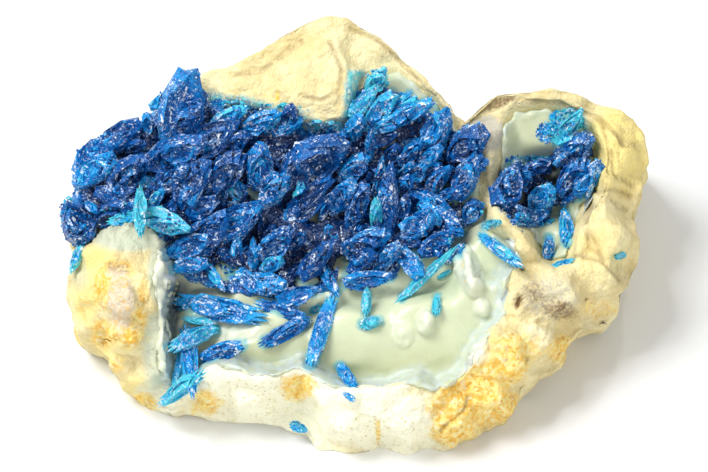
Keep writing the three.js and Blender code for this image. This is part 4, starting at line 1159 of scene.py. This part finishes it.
def lining_mesh(settings, region, middle, thickness, subdivisions, edge):
    """The skin of another mineral in a hollow, with a scalloped edge, a lip and small lobes."""
    def upper(column, row, full):
        lobes = cells_at(flat_points(column, row), SCALLOP_SQUARES)[0]
        inside = inside_distance(region, column, row) + SCALLOP_DEPTH * (0.45 - lobes)
        lip = smooth_step(0, 5, inside) * smooth_step(18, 9, inside)
        lip_rise = (LIP_RISE + LIP_LOBES * (0.6 - lobes)) * lip
        return LINING_RISE + lip_rise - EDGE_DROP * smooth_step(4.5, 0.5, inside)

    def lower(column, row, full):
        return -thickness * (EDGE_THICKNESS + (1 - EDGE_THICKNESS) * full)

    mesh, column, row, front, _ = sheet_mesh(region, middle, subdivisions, upper, lower)
    point = corners_of(mesh)
    normals = normals_of(mesh)
    small = cells_at(point, *RIM_LUMPS)[0]
    rim = smooth_step(14, 2, np.abs(inside_distance(edge, column, row)))
    lobe = settings.lobe_rise / MM
    rise = lobe * (0.9 * noise_at(point, *LINING_NOISE) + 0.7 * lumps_at(point, *LINING_LUMPS))
    rise += lobe * rim * 2.6 * (0.6 - small) + 0.15 * lobe * noise_at(point, *LINING_GRAIN)
    left_wall = smooth_step(*LEFT_WALL_COLUMNS, column) * smooth_step(*LEFT_WALL_ROWS, row)
    rise += 0.42 * left_wall * lumps_at(point, *LEFT_WALL_LUMPS)
    point += normals * (rise * front)[:, None]

    pale = spot_share(PALE_SPOTS, column, row, *PALE_EDGE)
    frill = 0.3 * (0.5 - small) + 0.24 * noise_at(point, *FRILL_NOISE)
    frill *= pale * smooth_step(*FRILL_COLUMNS, column)
    point += normals * (frill * front)[:, None]
    put_corners(mesh, point)
    # Painted shade: where the lining lies in shadow it is coloured olive
    olive = smooth_step(40, 5, line_distance(OLIVE_SHADE_LINE, column, row))
    olive = np.maximum(olive, spot_share(OLIVE_SHADE_SPOTS, column, row, *SPOT_EDGE))
    olive = np.maximum(olive, spot_share([OLIVE_SHADE_POCKET], column, row, *OLIVE_SHADE_POCKET_EDGE))
    put_values(mesh, "band", rim)
    put_values(mesh, "stain", lining_stain(column, row))
    # Painted shadow spots
    put_values(mesh, "dark", spot_share(SHADOW_SPOTS, column, row, *SPOT_EDGE))
    put_values(mesh, "olive", olive)
    put_values(mesh, "pale", pale)
    return mesh


def lining_material(settings):
    shader = Shader(
        "lining", Roughness=0.32, **{
            "Subsurface Weight": 0.35, "Subsurface Radius": (0.5, 0.5, 0.3),
            "Subsurface Scale": 0.6 * MM, "Coat Weight": 0.25, "Coat Roughness": 0.15,
        },
    )
    coarse = shader.noise(wave=1.8, detail=3)
    middle = shader.noise(wave=0.4, detail=3)
    fine = shader.noise(wave=0.1, detail=2)
    shade = tuple(0.88 * c for c in settings.base)
    colour = shader.over(settings.base, shade, coarse, 0.35, 0.7)
    # Painted shade: olive over the shaded parts of the lining
    colour = shader.mix(shader.attribute("olive") * (0.35 + middle * 0.5), colour, settings.olive)
    colour = shader.mix(shader.attribute("band") * middle.step(0.25, 0.6), colour, settings.band)
    colour = shader.mix(shader.attribute("pale"), colour, settings.pale)
    stain = shader.attribute("stain") + (middle - 0.5) * 0.8
    colour = shader.over(colour, settings.stain, stain, 0.5, 1.25, 0.85)
    # Painted shadow: near-black where the lining lies in deep shadow
    colour = shader.mix(shader.attribute("dark") * 0.9, colour, PAINTED_SHADOW)
    colour = shader.over(colour, WAXY_WHITE, fine, 0.6, 0.8, 0.12)
    shader.set("Base Color", colour)
    shader.set("Roughness", 0.25 + middle * 0.3)
    shader.set("Normal", shader.bump(middle * 0.6 + fine * 0.3, distance=0.05, strength=0.5))
    return shader.material


class SPECIMEN_OT_linings(bpy.types.Operator):
    """Models the lining of the cavity and of the pocket"""

    bl_idname = "specimen.linings"
    bl_label = "Linings"

    def execute(self, context):
        settings = context.scene.specimen_lining
        material = lining_material(settings)
        for name, *lining in LININGS:
            show(name, lining_mesh(settings, *lining), material, [name])
        return {"FINISHED"}


# Crystals
def eased(value, power):
    """A value raised to a power, with its sign kept."""
    return math.copysign(abs(value) ** power, value) if abs(value) > 1e-4 else 0.0


def blade_shape(corners, narrowing, bluntness):
    """A flat blade with chamfered edges and pointed ends, one unit long and two wide."""
    bm = bmesh.new()
    bmesh.ops.create_circle(bm, cap_ends=True, segments=corners, radius=1.0)
    widest = max(vert.co.x for vert in bm.verts)
    for vert in bm.verts:
        x, y = vert.co.x / widest, vert.co.y
        vert.co = (eased(x, narrowing), 0.5 * eased(y, bluntness), -1.0)
    raised = bmesh.ops.extrude_face_region(bm, geom=bm.faces[:])
    bmesh.ops.translate(
        bm, vec=(0, 0, 2), verts=[v for v in raised["geom"] if isinstance(v, bmesh.types.BMVert)],
    )
    rim = set(bm.verts)
    flats = [face for face in bm.faces if len(face.verts) == corners]
    bmesh.ops.inset_region(bm, faces=flats, thickness=BLADE_INSET, depth=0.0)
    for vert in rim:
        vert.co.z *= BLADE_RIM
    tops = [face for face in bm.faces if not rim.intersection(face.verts)]
    bmesh.ops.poke(bm, faces=tops, offset=BLADE_CROWN)
    bmesh.ops.recalc_face_normals(bm, faces=bm.faces[:])
    bmesh.ops.triangulate(bm, faces=bm.faces[:])
    return mesh_from(bm, "blade")


def spindle_shape(sides, tiers):
    """A plain spindle, one unit long and two wide."""
    bm = bmesh.new()
    bmesh.ops.create_uvsphere(bm, u_segments=sides, v_segments=tiers, radius=1.0)
    for vert in bm.verts:
        x, y, z = vert.co
        vert.co = (x, 0.5 * z, -y)
    bmesh.ops.recalc_face_normals(bm, faces=bm.faces[:])
    bmesh.ops.triangulate(bm, faces=bm.faces[:])
    return mesh_from(bm, "spindle")


def triangles_of(mesh):
    flat = np.empty(len(mesh.polygons) * 3, np.int32)
    mesh.loops.foreach_get("vertex_index", flat)
    return flat.reshape(-1, 3)


class Cluster:
    """Gathers placed copies of shapes into one mesh, with the values that their colour needs."""

    def __init__(self):
        self.points = []
        self.faces = []
        self.lays = []
        self.tones = []
        self.edges = []
        self.count = 0

    def add(self, points, faces, lay, tone, edge):
        self.points.append(points)
        self.faces.append(faces + self.count)
        self.lays.append(lay)
        self.tones.append(np.broadcast_to(tone, len(points)))
        self.edges.append(edge)
        self.count += len(points)

    def blade(self, shape, foot, tip, width, thickness, facing, tone, bend=0.0, taper=0.0):
        """Puts one blade between two points. Lengths are in millimetres."""
        corners, faces = shape
        length = np.linalg.norm(tip - foot)
        along = (tip - foot) / length
        facing = facing - along * np.dot(facing, along)
        facing /= np.linalg.norm(facing)
        side = np.cross(along, facing)
        x, y, z = corners.T
        narrowing = 1 + taper * y * 2
        local_x = x * width / 2 * narrowing
        local_z = z * thickness / 2 * narrowing + bend * width * (1 - 4 * y * y)
        middle = (foot + tip) / 2
        points = middle + np.outer(local_x, side) + np.outer(y * length, along)
        points += np.outer(local_z, facing)
        lay = np.stack(
            [local_x, y * length + tone * LAY_SPREAD, z * thickness / 2 + foot[0]], axis=-1,
        )
        # Painted highlight: this value lightens the rims and tips of a blade, standing in for light
        # shining through thin edges
        edge = np.clip(np.maximum(np.abs(x), 2 * np.abs(y)) ** 4, 0, 1)
        self.add(points, faces, lay, tone, edge)

    def blade_at(self, shape, spot, lean, length, width, thickness, facing, tone):
        """Puts one blade with its middle at a spot."""
        half = lean * length / 2
        self.blade(shape, spot - half, spot + half, width, thickness, facing, tone)

    def mesh(self, name):
        points = np.concatenate(self.points)
        faces = np.concatenate(self.faces)
        mesh = bpy.data.meshes.new(name)
        mesh.vertices.add(len(points))
        mesh.loops.add(faces.size)
        mesh.polygons.add(len(faces))
        mesh.vertices.foreach_set("co", points.astype(np.float32).ravel())
        mesh.loops.foreach_set("vertex_index", faces.astype(np.int32).ravel())
        mesh.polygons.foreach_set("loop_start", np.arange(0, faces.size, 3, dtype=np.int32))
        mesh.update(calc_edges=True)
        mesh.validate()
        put_vectors(mesh, "lay", np.concatenate(self.lays))
        put_values(mesh, "tone", np.concatenate(self.tones))
        put_values(mesh, "edge", np.concatenate(self.edges))
        return mesh


def turned(vector, axis, degrees):
    angle = math.radians(degrees)
    parallel = axis * np.dot(axis, vector)
    across = vector - parallel
    return parallel + across * math.cos(angle) + np.cross(axis, vector) * math.sin(angle)


def unit(vector):
    return vector / np.linalg.norm(vector)


def ends_of(crystal):
    foot_x, foot_y, foot_rise, tip_x, tip_y, tip_rise = crystal[:6]
    share = np.linspace(0, 1, 5)
    along_x, along_y = foot_x + (tip_x - foot_x) * share, foot_y + (tip_y - foot_y) * share
    ground = ground_out(along_x, along_y)
    start, end = ground[0] + foot_rise, ground[-1] + tip_rise
    sunk = np.max(ground[1:-1] + LEAST_RISE - (start + (end - start) * share[1:-1]))
    lift = max(0.0, float(sunk))
    return to_world(foot_x, foot_y, start + lift), to_world(tip_x, tip_y, end + lift)


def add_crystal(cluster, shapes, crystal, rng, build):
    """One crystal, grown from several plates that lie almost side by side."""
    plates, angular, fan, thickness = build

    def shape():
        return shapes["kite" if rng.random() < angular else "seed"]

    foot, tip = ends_of(crystal)
    width, turn, tone = crystal[6] * GRID, crystal[7], crystal[8]
    length = np.linalg.norm(tip - foot)
    along = (tip - foot) / length
    facing = turned(unit(OUTWARD - along * np.dot(OUTWARD, along)), along, turn)
    side = np.cross(along, facing)
    cluster.blade(
        shape(), foot, tip, width, width * thickness, facing, tone,
        rng.uniform(*BLADE["bend"]), rng.uniform(*BLADE["taper"]) * (1 + 2 * angular),
    )
    for _ in range(plates):
        size = rng.uniform(*PLATE["length"])
        slide = rng.uniform(*PLATE["slide"]) * (1 - size) * length
        shift = side * rng.uniform(*PLATE["across"]) * width
        shift += facing * rng.uniform(*PLATE["lift"]) * width
        middle = (foot + tip) / 2 + along * slide + shift
        lean = turned(along, facing, rng.uniform(-fan, fan))
        lean = turned(lean, side, rng.uniform(-fan, fan))
        face = turned(facing, along, rng.uniform(*PLATE["turn"]))
        half = lean * length * size / 2
        cluster.blade(
            shape(), middle - half, middle + half, width * rng.uniform(*PLATE["width"]),
            width * rng.uniform(*PLATE["thickness"]), face,
            np.clip(tone + rng.uniform(*PLATE["tone"]), 0, 1),
            rng.uniform(*PLATE["bend"]), rng.uniform(*PLATE["taper"]),
        )


def scatter_tiny(cluster, shape, points, faces, allowed, rng, count, sizes, tone_of):
    """Tiny crystals that stand on the faces of a mesh."""
    a, b, c = (points[faces[:, k]] for k in range(3))
    cross = np.cross(b - a, c - a)
    area = np.linalg.norm(cross, axis=1) / 2
    normal = cross / np.maximum(area[:, None] * 2, 1e-9)
    centre = (a + b + c) / 3
    weight = area * (normal @ OUTWARD > TINY_FACING) * allowed(centre)
    weight /= weight.sum()
    chosen = rng.choice(len(faces), size=count, p=weight)
    for index in chosen:
        u, v = sorted(rng.random(2))
        spot = a[index] * u + b[index] * (v - u) + c[index] * (1 - v)
        length = rng.uniform(*sizes)
        lean = unit(normal[index] * rng.uniform(*TINY["upright"]) + rng.normal(0, 0.6, 3))
        facing = normal[index] + rng.normal(0, 0.35, 3)
        width = length * rng.uniform(*TINY["width"])
        thickness = width * rng.uniform(*TINY["thickness"])
        cluster.blade_at(shape, spot, lean, length, width, thickness, facing, tone_of(spot, rng))


def add_grains(cluster, shape, rng, count, tone):
    """Tiny crystals all over the crystals that a cluster has so far."""
    scatter_tiny(
        cluster, shape, np.concatenate(cluster.points), np.concatenate(cluster.faces),
        lambda centre: np.ones(len(centre)), rng, count, GRAIN_SIZES,
        lambda spot, draws: float(np.clip(tone + draws.normal(0.05, 0.2), 0, 1)),
    )


def survey_of(points):
    """Column and row of points."""
    up = points[:, 2] * ACROSS + (points[:, 1] - ORIGIN_SHIFT_Y) * DOWN
    return points[:, 0] / GRID + GRID_CENTRE[0], GRID_CENTRE[1] - up / GRID


def opening_share(column, row):
    return spot_share(DRUSE_OPENINGS, column, row, *OPENING_EDGE)


def add_crust(cluster, region, middle, subdivisions, rim_tone):
    """The fine-grained crust that joins the crowded crystals."""
    def upper(column, row, full):
        inside = inside_distance(region, column, row)
        ragged = 5 * noise_at(flat_points(column, row), 14.0)
        rim = smooth_step(5, -3, inside + ragged)
        return CRUST_TOP * (0.3 + 0.4 * full) - opening_share(column, row) - 0.6 * rim

    def lower(column, row, full):
        return -CRUST_DEPTH - opening_share(column, row)

    mesh, column, row, front, spread = sheet_mesh(region, middle, subdivisions, upper, lower)
    point = corners_of(mesh)
    normals = normals_of(mesh)
    height, size, shift = CRUST_LUMPS
    rise = height * lumps_at(point, size, shift)
    for height, wave, shift in CRUST_NOISE:
        rise += height * noise_at(point, wave, shift)
    point += normals * (rise * front * smooth_step(1.0, 0.9, spread))[:, None]
    # The crust takes the deepest tones: partly its own dark blue, partly painted shade in the gaps
    # between the crystals
    tone = np.clip(0.04 + 0.1 * noise_at(point, 0.4, 8.0), 0, 1)
    near_rim = smooth_step(16, 2, inside_distance(region, column, row))
    tone = np.clip(tone + rim_tone * near_rim, 0, 1)
    cluster.add(point, triangles_of(mesh), point.copy(), tone, np.zeros(len(point)))
    bpy.data.meshes.remove(mesh)


def tone_near(region, rim_tone):
    """A draw of tones that are paler near a region's edge."""
    tones, shares = TINY_TONES

    def tone_of(spot, rng):
        column, row = survey_of(spot[None, :])
        near_rim = float(smooth_step(20, 2, inside_distance(region, column, row))[0])
        base = rng.choice(tones, p=shares)
        return float(np.clip(base + rim_tone * near_rim * rng.uniform(0.3, 1.2), 0, 1))
    return tone_of


def filling_crystals(region, rng, count):
    """Crystals of middling size that fill the gaps of a druse."""
    corners = np.array(region)
    low, high = corners.min(axis=0), corners.max(axis=0)
    tones, shares = FILLING_TONES
    made = []
    while len(made) < count:
        spot = rng.uniform(low, high)
        inside = inside_distance(region, spot[:1], spot[1:])[0]
        if inside < FILLING_MARGIN or opening_share(spot[:1], spot[1:])[0] > FILLING_OPENING:
            continue
        heading = rng.normal(*FILLING["heading"])
        length = rng.uniform(*FILLING["length"])
        tip = spot + length * np.array([math.cos(heading), -math.sin(heading)])
        tone = float(rng.choice(tones, p=shares))
        made.append((
            *spot, rng.uniform(*FILLING["foot_rise"]), *tip, rng.uniform(*FILLING["tip_rise"]),
            length * rng.uniform(*FILLING["width"]), rng.uniform(*FILLING["turn"]), tone,
        ))
    return made


def add_patch(cluster, shape, patch, rng):
    """A patch of tiny crystals that lie scattered on the ground."""
    middle_x, middle_y, half_width, half_height, tone, count = patch
    for _ in range(count):
        angle, away = rng.uniform(0, TAU), math.sqrt(rng.random())
        column = middle_x + half_width * away * math.cos(angle)
        row = middle_y + half_height * away * math.sin(angle)
        spot = to_world(column, row, ground_out(column, row) + rng.uniform(*PATCH["rise"]))
        lean = unit(rng.normal(0, 1, 3))
        length = rng.uniform(*PATCH["length"])
        width = length * rng.uniform(*PATCH["width"])
        shade = float(np.clip(tone + 0.02 * (column - middle_x) + rng.normal(0, 0.12), 0, 1))
        facing = OUTWARD + rng.normal(0, 0.3, 3)
        cluster.blade_at(shape, spot, lean, length, width, width * 0.5, facing, shade)


def druse_cluster(shapes, tiny, region, middle, divisions, crystals, small, filling, patches,
                  rim_tone, seed):
    """Crowded crystals on their crust, with the filling and the tiny crystals between them."""
    rng = np.random.default_rng(seed)
    cluster = Cluster()
    add_crust(cluster, region, middle, divisions, rim_tone)
    for crystal in crystals:
        build = "crowded" if crystal[6] < WIDE_SQUARES else "wide"
        add_crystal(cluster, shapes, crystal, rng, BUILDS[build])
    for crystal in filling_crystals(region, rng, filling):
        add_crystal(cluster, shapes, crystal, rng, BUILDS["filling"])
    carriers = np.concatenate(cluster.points), np.concatenate(cluster.faces)
    for crystal in small:
        add_crystal(cluster, shapes, crystal, rng, BUILDS["small"])

    def allowed(centre):
        return 1 - opening_share(*survey_of(centre))

    scatter_tiny(
        cluster, shapes["tiny"], *carriers, allowed, rng, tiny, TINY_SIZES,
        tone_near(region, rim_tone),
    )
    for patch in patches:
        add_patch(cluster, shapes["tiny"], patch, rng)
    return cluster


def crystal_material(name, settings):
    shader = Shader(name, IOR=1.5, **{"Specular IOR Level": 0.35})
    tone = shader.attribute("tone")
    edge = shader.attribute("edge")
    lay = shader.attribute_vector("lay")

    def along(stretch, **sizes):
        return shader.noise(1.0, place=shader.vector("MULTIPLY", lay, stretch), **sizes)

    streak = along(STREAK_STRETCH, detail=3, roughness=0.65)
    patch = shader.noise(wave=0.3, detail=3)
    grain = shader.noise(wave=0.09, detail=3, roughness=0.7)
    level = tone + (patch - 0.5) * 0.5 + (streak - 0.5) * 0.5 + (grain - 0.5) * 0.5
    # Painted highlight: thin rims and tips are lighter, as if lit through
    level = (level + edge * 0.22).clamp()
    colour = shader.over(settings.deep, settings.royal, level, 0.0, 0.42)
    colour = shader.over(colour, settings.azure, level, 0.35, 0.68)
    colour = shader.over(colour, settings.cyan, level, 0.65, 0.98)

    # Painted highlights: pale sparkle, brighter glints and long white flares laid into the colour,
    # standing in for light glinting off tiny facets
    sparkle_patches = shader.noise(wave=0.7, detail=3, roughness=0.6)
    sparkle_pick, = shader.picks(0.062, "Red")
    painted_sparkle = (sparkle_pick + (sparkle_patches - 0.5) * 1.5 + (streak - 0.5) * 0.3).step(0.8, 1.0)
    colour = shader.mix(painted_sparkle * tone.step(-0.1, 0.25) * 0.55, colour, PAINTED_SPARKLE)
    painted_glint, = shader.picks(0.08, "Green")
    painted_glint = (painted_glint + (sparkle_patches - 0.5) * 0.6).step(0.92, 0.97) * tone.step(-0.05, 0.3) * 0.8
    colour = shader.mix(painted_glint, colour, PAINTED_GLINT)
    flare_highlight = along(FLARE_HIGHLIGHT_STRETCH, detail=2, roughness=0.5) + (grain - 0.5) * 0.45
    colour = shader.over(colour, PAINTED_FLARE, flare_highlight, 0.65, 0.70, 0.9)
    shader.set("Base Color", colour)
    shader.set("Roughness", 0.1 + patch * 0.25)
    ridged = shader.bump(streak * 0.5 + grain * 0.5, distance=0.07, strength=0.8)
    facets = shader.cells(0.07).outputs["Color"]
    shader.set("Normal", shader.tilted(facets, settings.sparkle, ridged))
    return shader.material


class SPECIMEN_OT_crystals(bpy.types.Operator):
    """Models the druses and the crystals that stand on their own"""

    bl_idname = "specimen.crystals"
    bl_label = "Crystals"

    def execute(self, context):
        settings = context.scene.specimen_crystals
        materials = {
            slot: crystal_material(slot, settings)
            for slot in ("blue_crystal", "azure_crystal", "teal_crystal")
        }
        shapes = {}
        made = {
            "seed": blade_shape(corners=12, narrowing=1.25, bluntness=0.8),
            "kite": blade_shape(corners=6, narrowing=1.0, bluntness=1.25),
            "tiny": spindle_shape(sides=4, tiers=3),
        }
        for name, mesh in made.items():
            shapes[name] = corners_of(mesh), triangles_of(mesh)
            bpy.data.meshes.remove(mesh)

        def finish(name, cluster, slot, replaced=()):
            show(name, cluster.mesh(name), materials[slot], replaced, smooth=False)

        for name, tiny_share, druse in DRUSES:
            cluster = druse_cluster(shapes, settings.tiny_count // tiny_share, **druse)
            finish(name, cluster, "blue_crystal", [name])
        rng = np.random.default_rng(13)
        corner = Cluster()
        for crystal in CORNER_CRYSTALS:
            add_crystal(corner, shapes, crystal, rng, BUILDS["corner"])
        add_grains(corner, shapes["tiny"], rng, CORNER_GRAINS, CORNER_TONE)
        finish("corner_druse", corner, "azure_crystal", ["corner_druse"])
        slots = {number: slot for slot, numbers in SINGLE_SLOTS.items() for number in numbers}
        for number, crystal in enumerate(SINGLE_CRYSTALS, 1):
            name = f"crystal_{number:02d}"
            cluster = Cluster()
            add_crystal(cluster, shapes, crystal, rng, BUILDS["single"])
            add_grains(cluster, shapes["tiny"], rng, 3 * crystal[6], crystal[8])
            finish(name, cluster, slots[number], [name])
        for number, crystal in enumerate(SPECKS, 1):
            cluster = Cluster()
            add_crystal(cluster, shapes, crystal, rng, BUILDS["speck"])
            finish(f"speck_{number}", cluster, "teal_crystal")
        return {"FINISHED"}


def add_lamp(name, direction, distance, size, power):
    data = bpy.data.lights.new(name, "AREA")
    data.shape = "DISK"
    data.size = size
    data.energy = power
    lamp = bpy.data.objects.new(name, data)
    bpy.context.scene.collection.objects.link(lamp)
    direction = Vector(direction).normalized()
    lamp.location = Vector((0, 0, AIM_HEIGHT * MM)) + direction * distance
    lamp.rotation_mode = "QUATERNION"
    lamp.rotation_quaternion = direction.to_track_quat("Z", "Y")
    lamp.visible_camera = False


class SPECIMEN_OT_stage(bpy.types.Operator):
    """Sets up the floor, the light and the camera"""

    bl_idname = "specimen.stage"
    bl_label = "Stage"

    def execute(self, context):
        scene = context.scene
        settings = scene.specimen_stage
        bm = bmesh.new()
        bmesh.ops.create_grid(bm, x_segments=1, y_segments=1, size=FLOOR_HALF)
        mesh = mesh_from(bm, "floor")
        shader = Shader("floor", Roughness=0.7)
        shader.set("Base Color", (*settings.floor, 1.0))
        mesh.materials.append(shader.material)
        floor = bpy.data.objects.new("floor", mesh)
        scene.collection.objects.link(floor)

        for *lamp, power in LAMPS:
            add_lamp(*lamp, getattr(settings, power))

        world = bpy.data.worlds.new("room")
        world.use_nodes = True
        background = world.node_tree.nodes["Background"]
        background.inputs["Color"].default_value = (1.0, 1.0, 1.0, 1.0)
        background.inputs["Strength"].default_value = settings.sky
        scene.world = world
        scene.view_settings.view_transform = "Standard"

        data = bpy.data.cameras.new("camera")
        data.lens = LENS
        data.sensor_width = SENSOR
        data.clip_start = 0.01
        data.clip_end = 10
        camera = bpy.data.objects.new("camera", data)
        scene.collection.objects.link(camera)
        aim = Vector((-GRID * MM, ORIGIN_SHIFT_Y * MM, 0))
        camera.location = aim + Vector(OUTWARD) * CAMERA_DISTANCE * MM
        camera.rotation_euler = (math.pi / 2 - SLOPE, 0, 0)
        scene.camera = camera
        return {"FINISHED"}


class SPECIMEN_PT_panel(bpy.types.Panel):
    """Lists the operators of the specimen with their sizes and colours"""

    bl_label = "Specimen"
    bl_idname = "SPECIMEN_PT_panel"
    bl_space_type = "VIEW_3D"
    bl_region_type = "UI"
    bl_category = "Specimen"

    def draw(self, context):
        for operator, name, group in PARTS:
            self.layout.operator(operator.bl_idname)
            for value in group.__annotations__:
                self.layout.prop(getattr(context.scene, name), value)


PARTS = [
    (SPECIMEN_OT_rock, "specimen_rock", RockSettings),
    (SPECIMEN_OT_linings, "specimen_lining", LiningSettings),
    (SPECIMEN_OT_crystals, "specimen_crystals", CrystalSettings),
    (SPECIMEN_OT_stage, "specimen_stage", StageSettings),
]


def register():
    for operator, name, group in PARTS:
        bpy.utils.register_class(group)
        setattr(bpy.types.Scene, name, bpy.props.PointerProperty(type=group))
        bpy.utils.register_class(operator)
    bpy.utils.register_class(SPECIMEN_PT_panel)


def unregister():
    bpy.utils.unregister_class(SPECIMEN_PT_panel)
    for operator, name, group in reversed(PARTS):
        bpy.utils.unregister_class(operator)
        delattr(bpy.types.Scene, name)
        bpy.utils.unregister_class(group)


def main():
    register()
    bpy.ops.specimen.rock()
    bpy.ops.specimen.linings()
    bpy.ops.specimen.crystals()
    bpy.ops.specimen.stage()


if __name__ == "__main__":
    main()
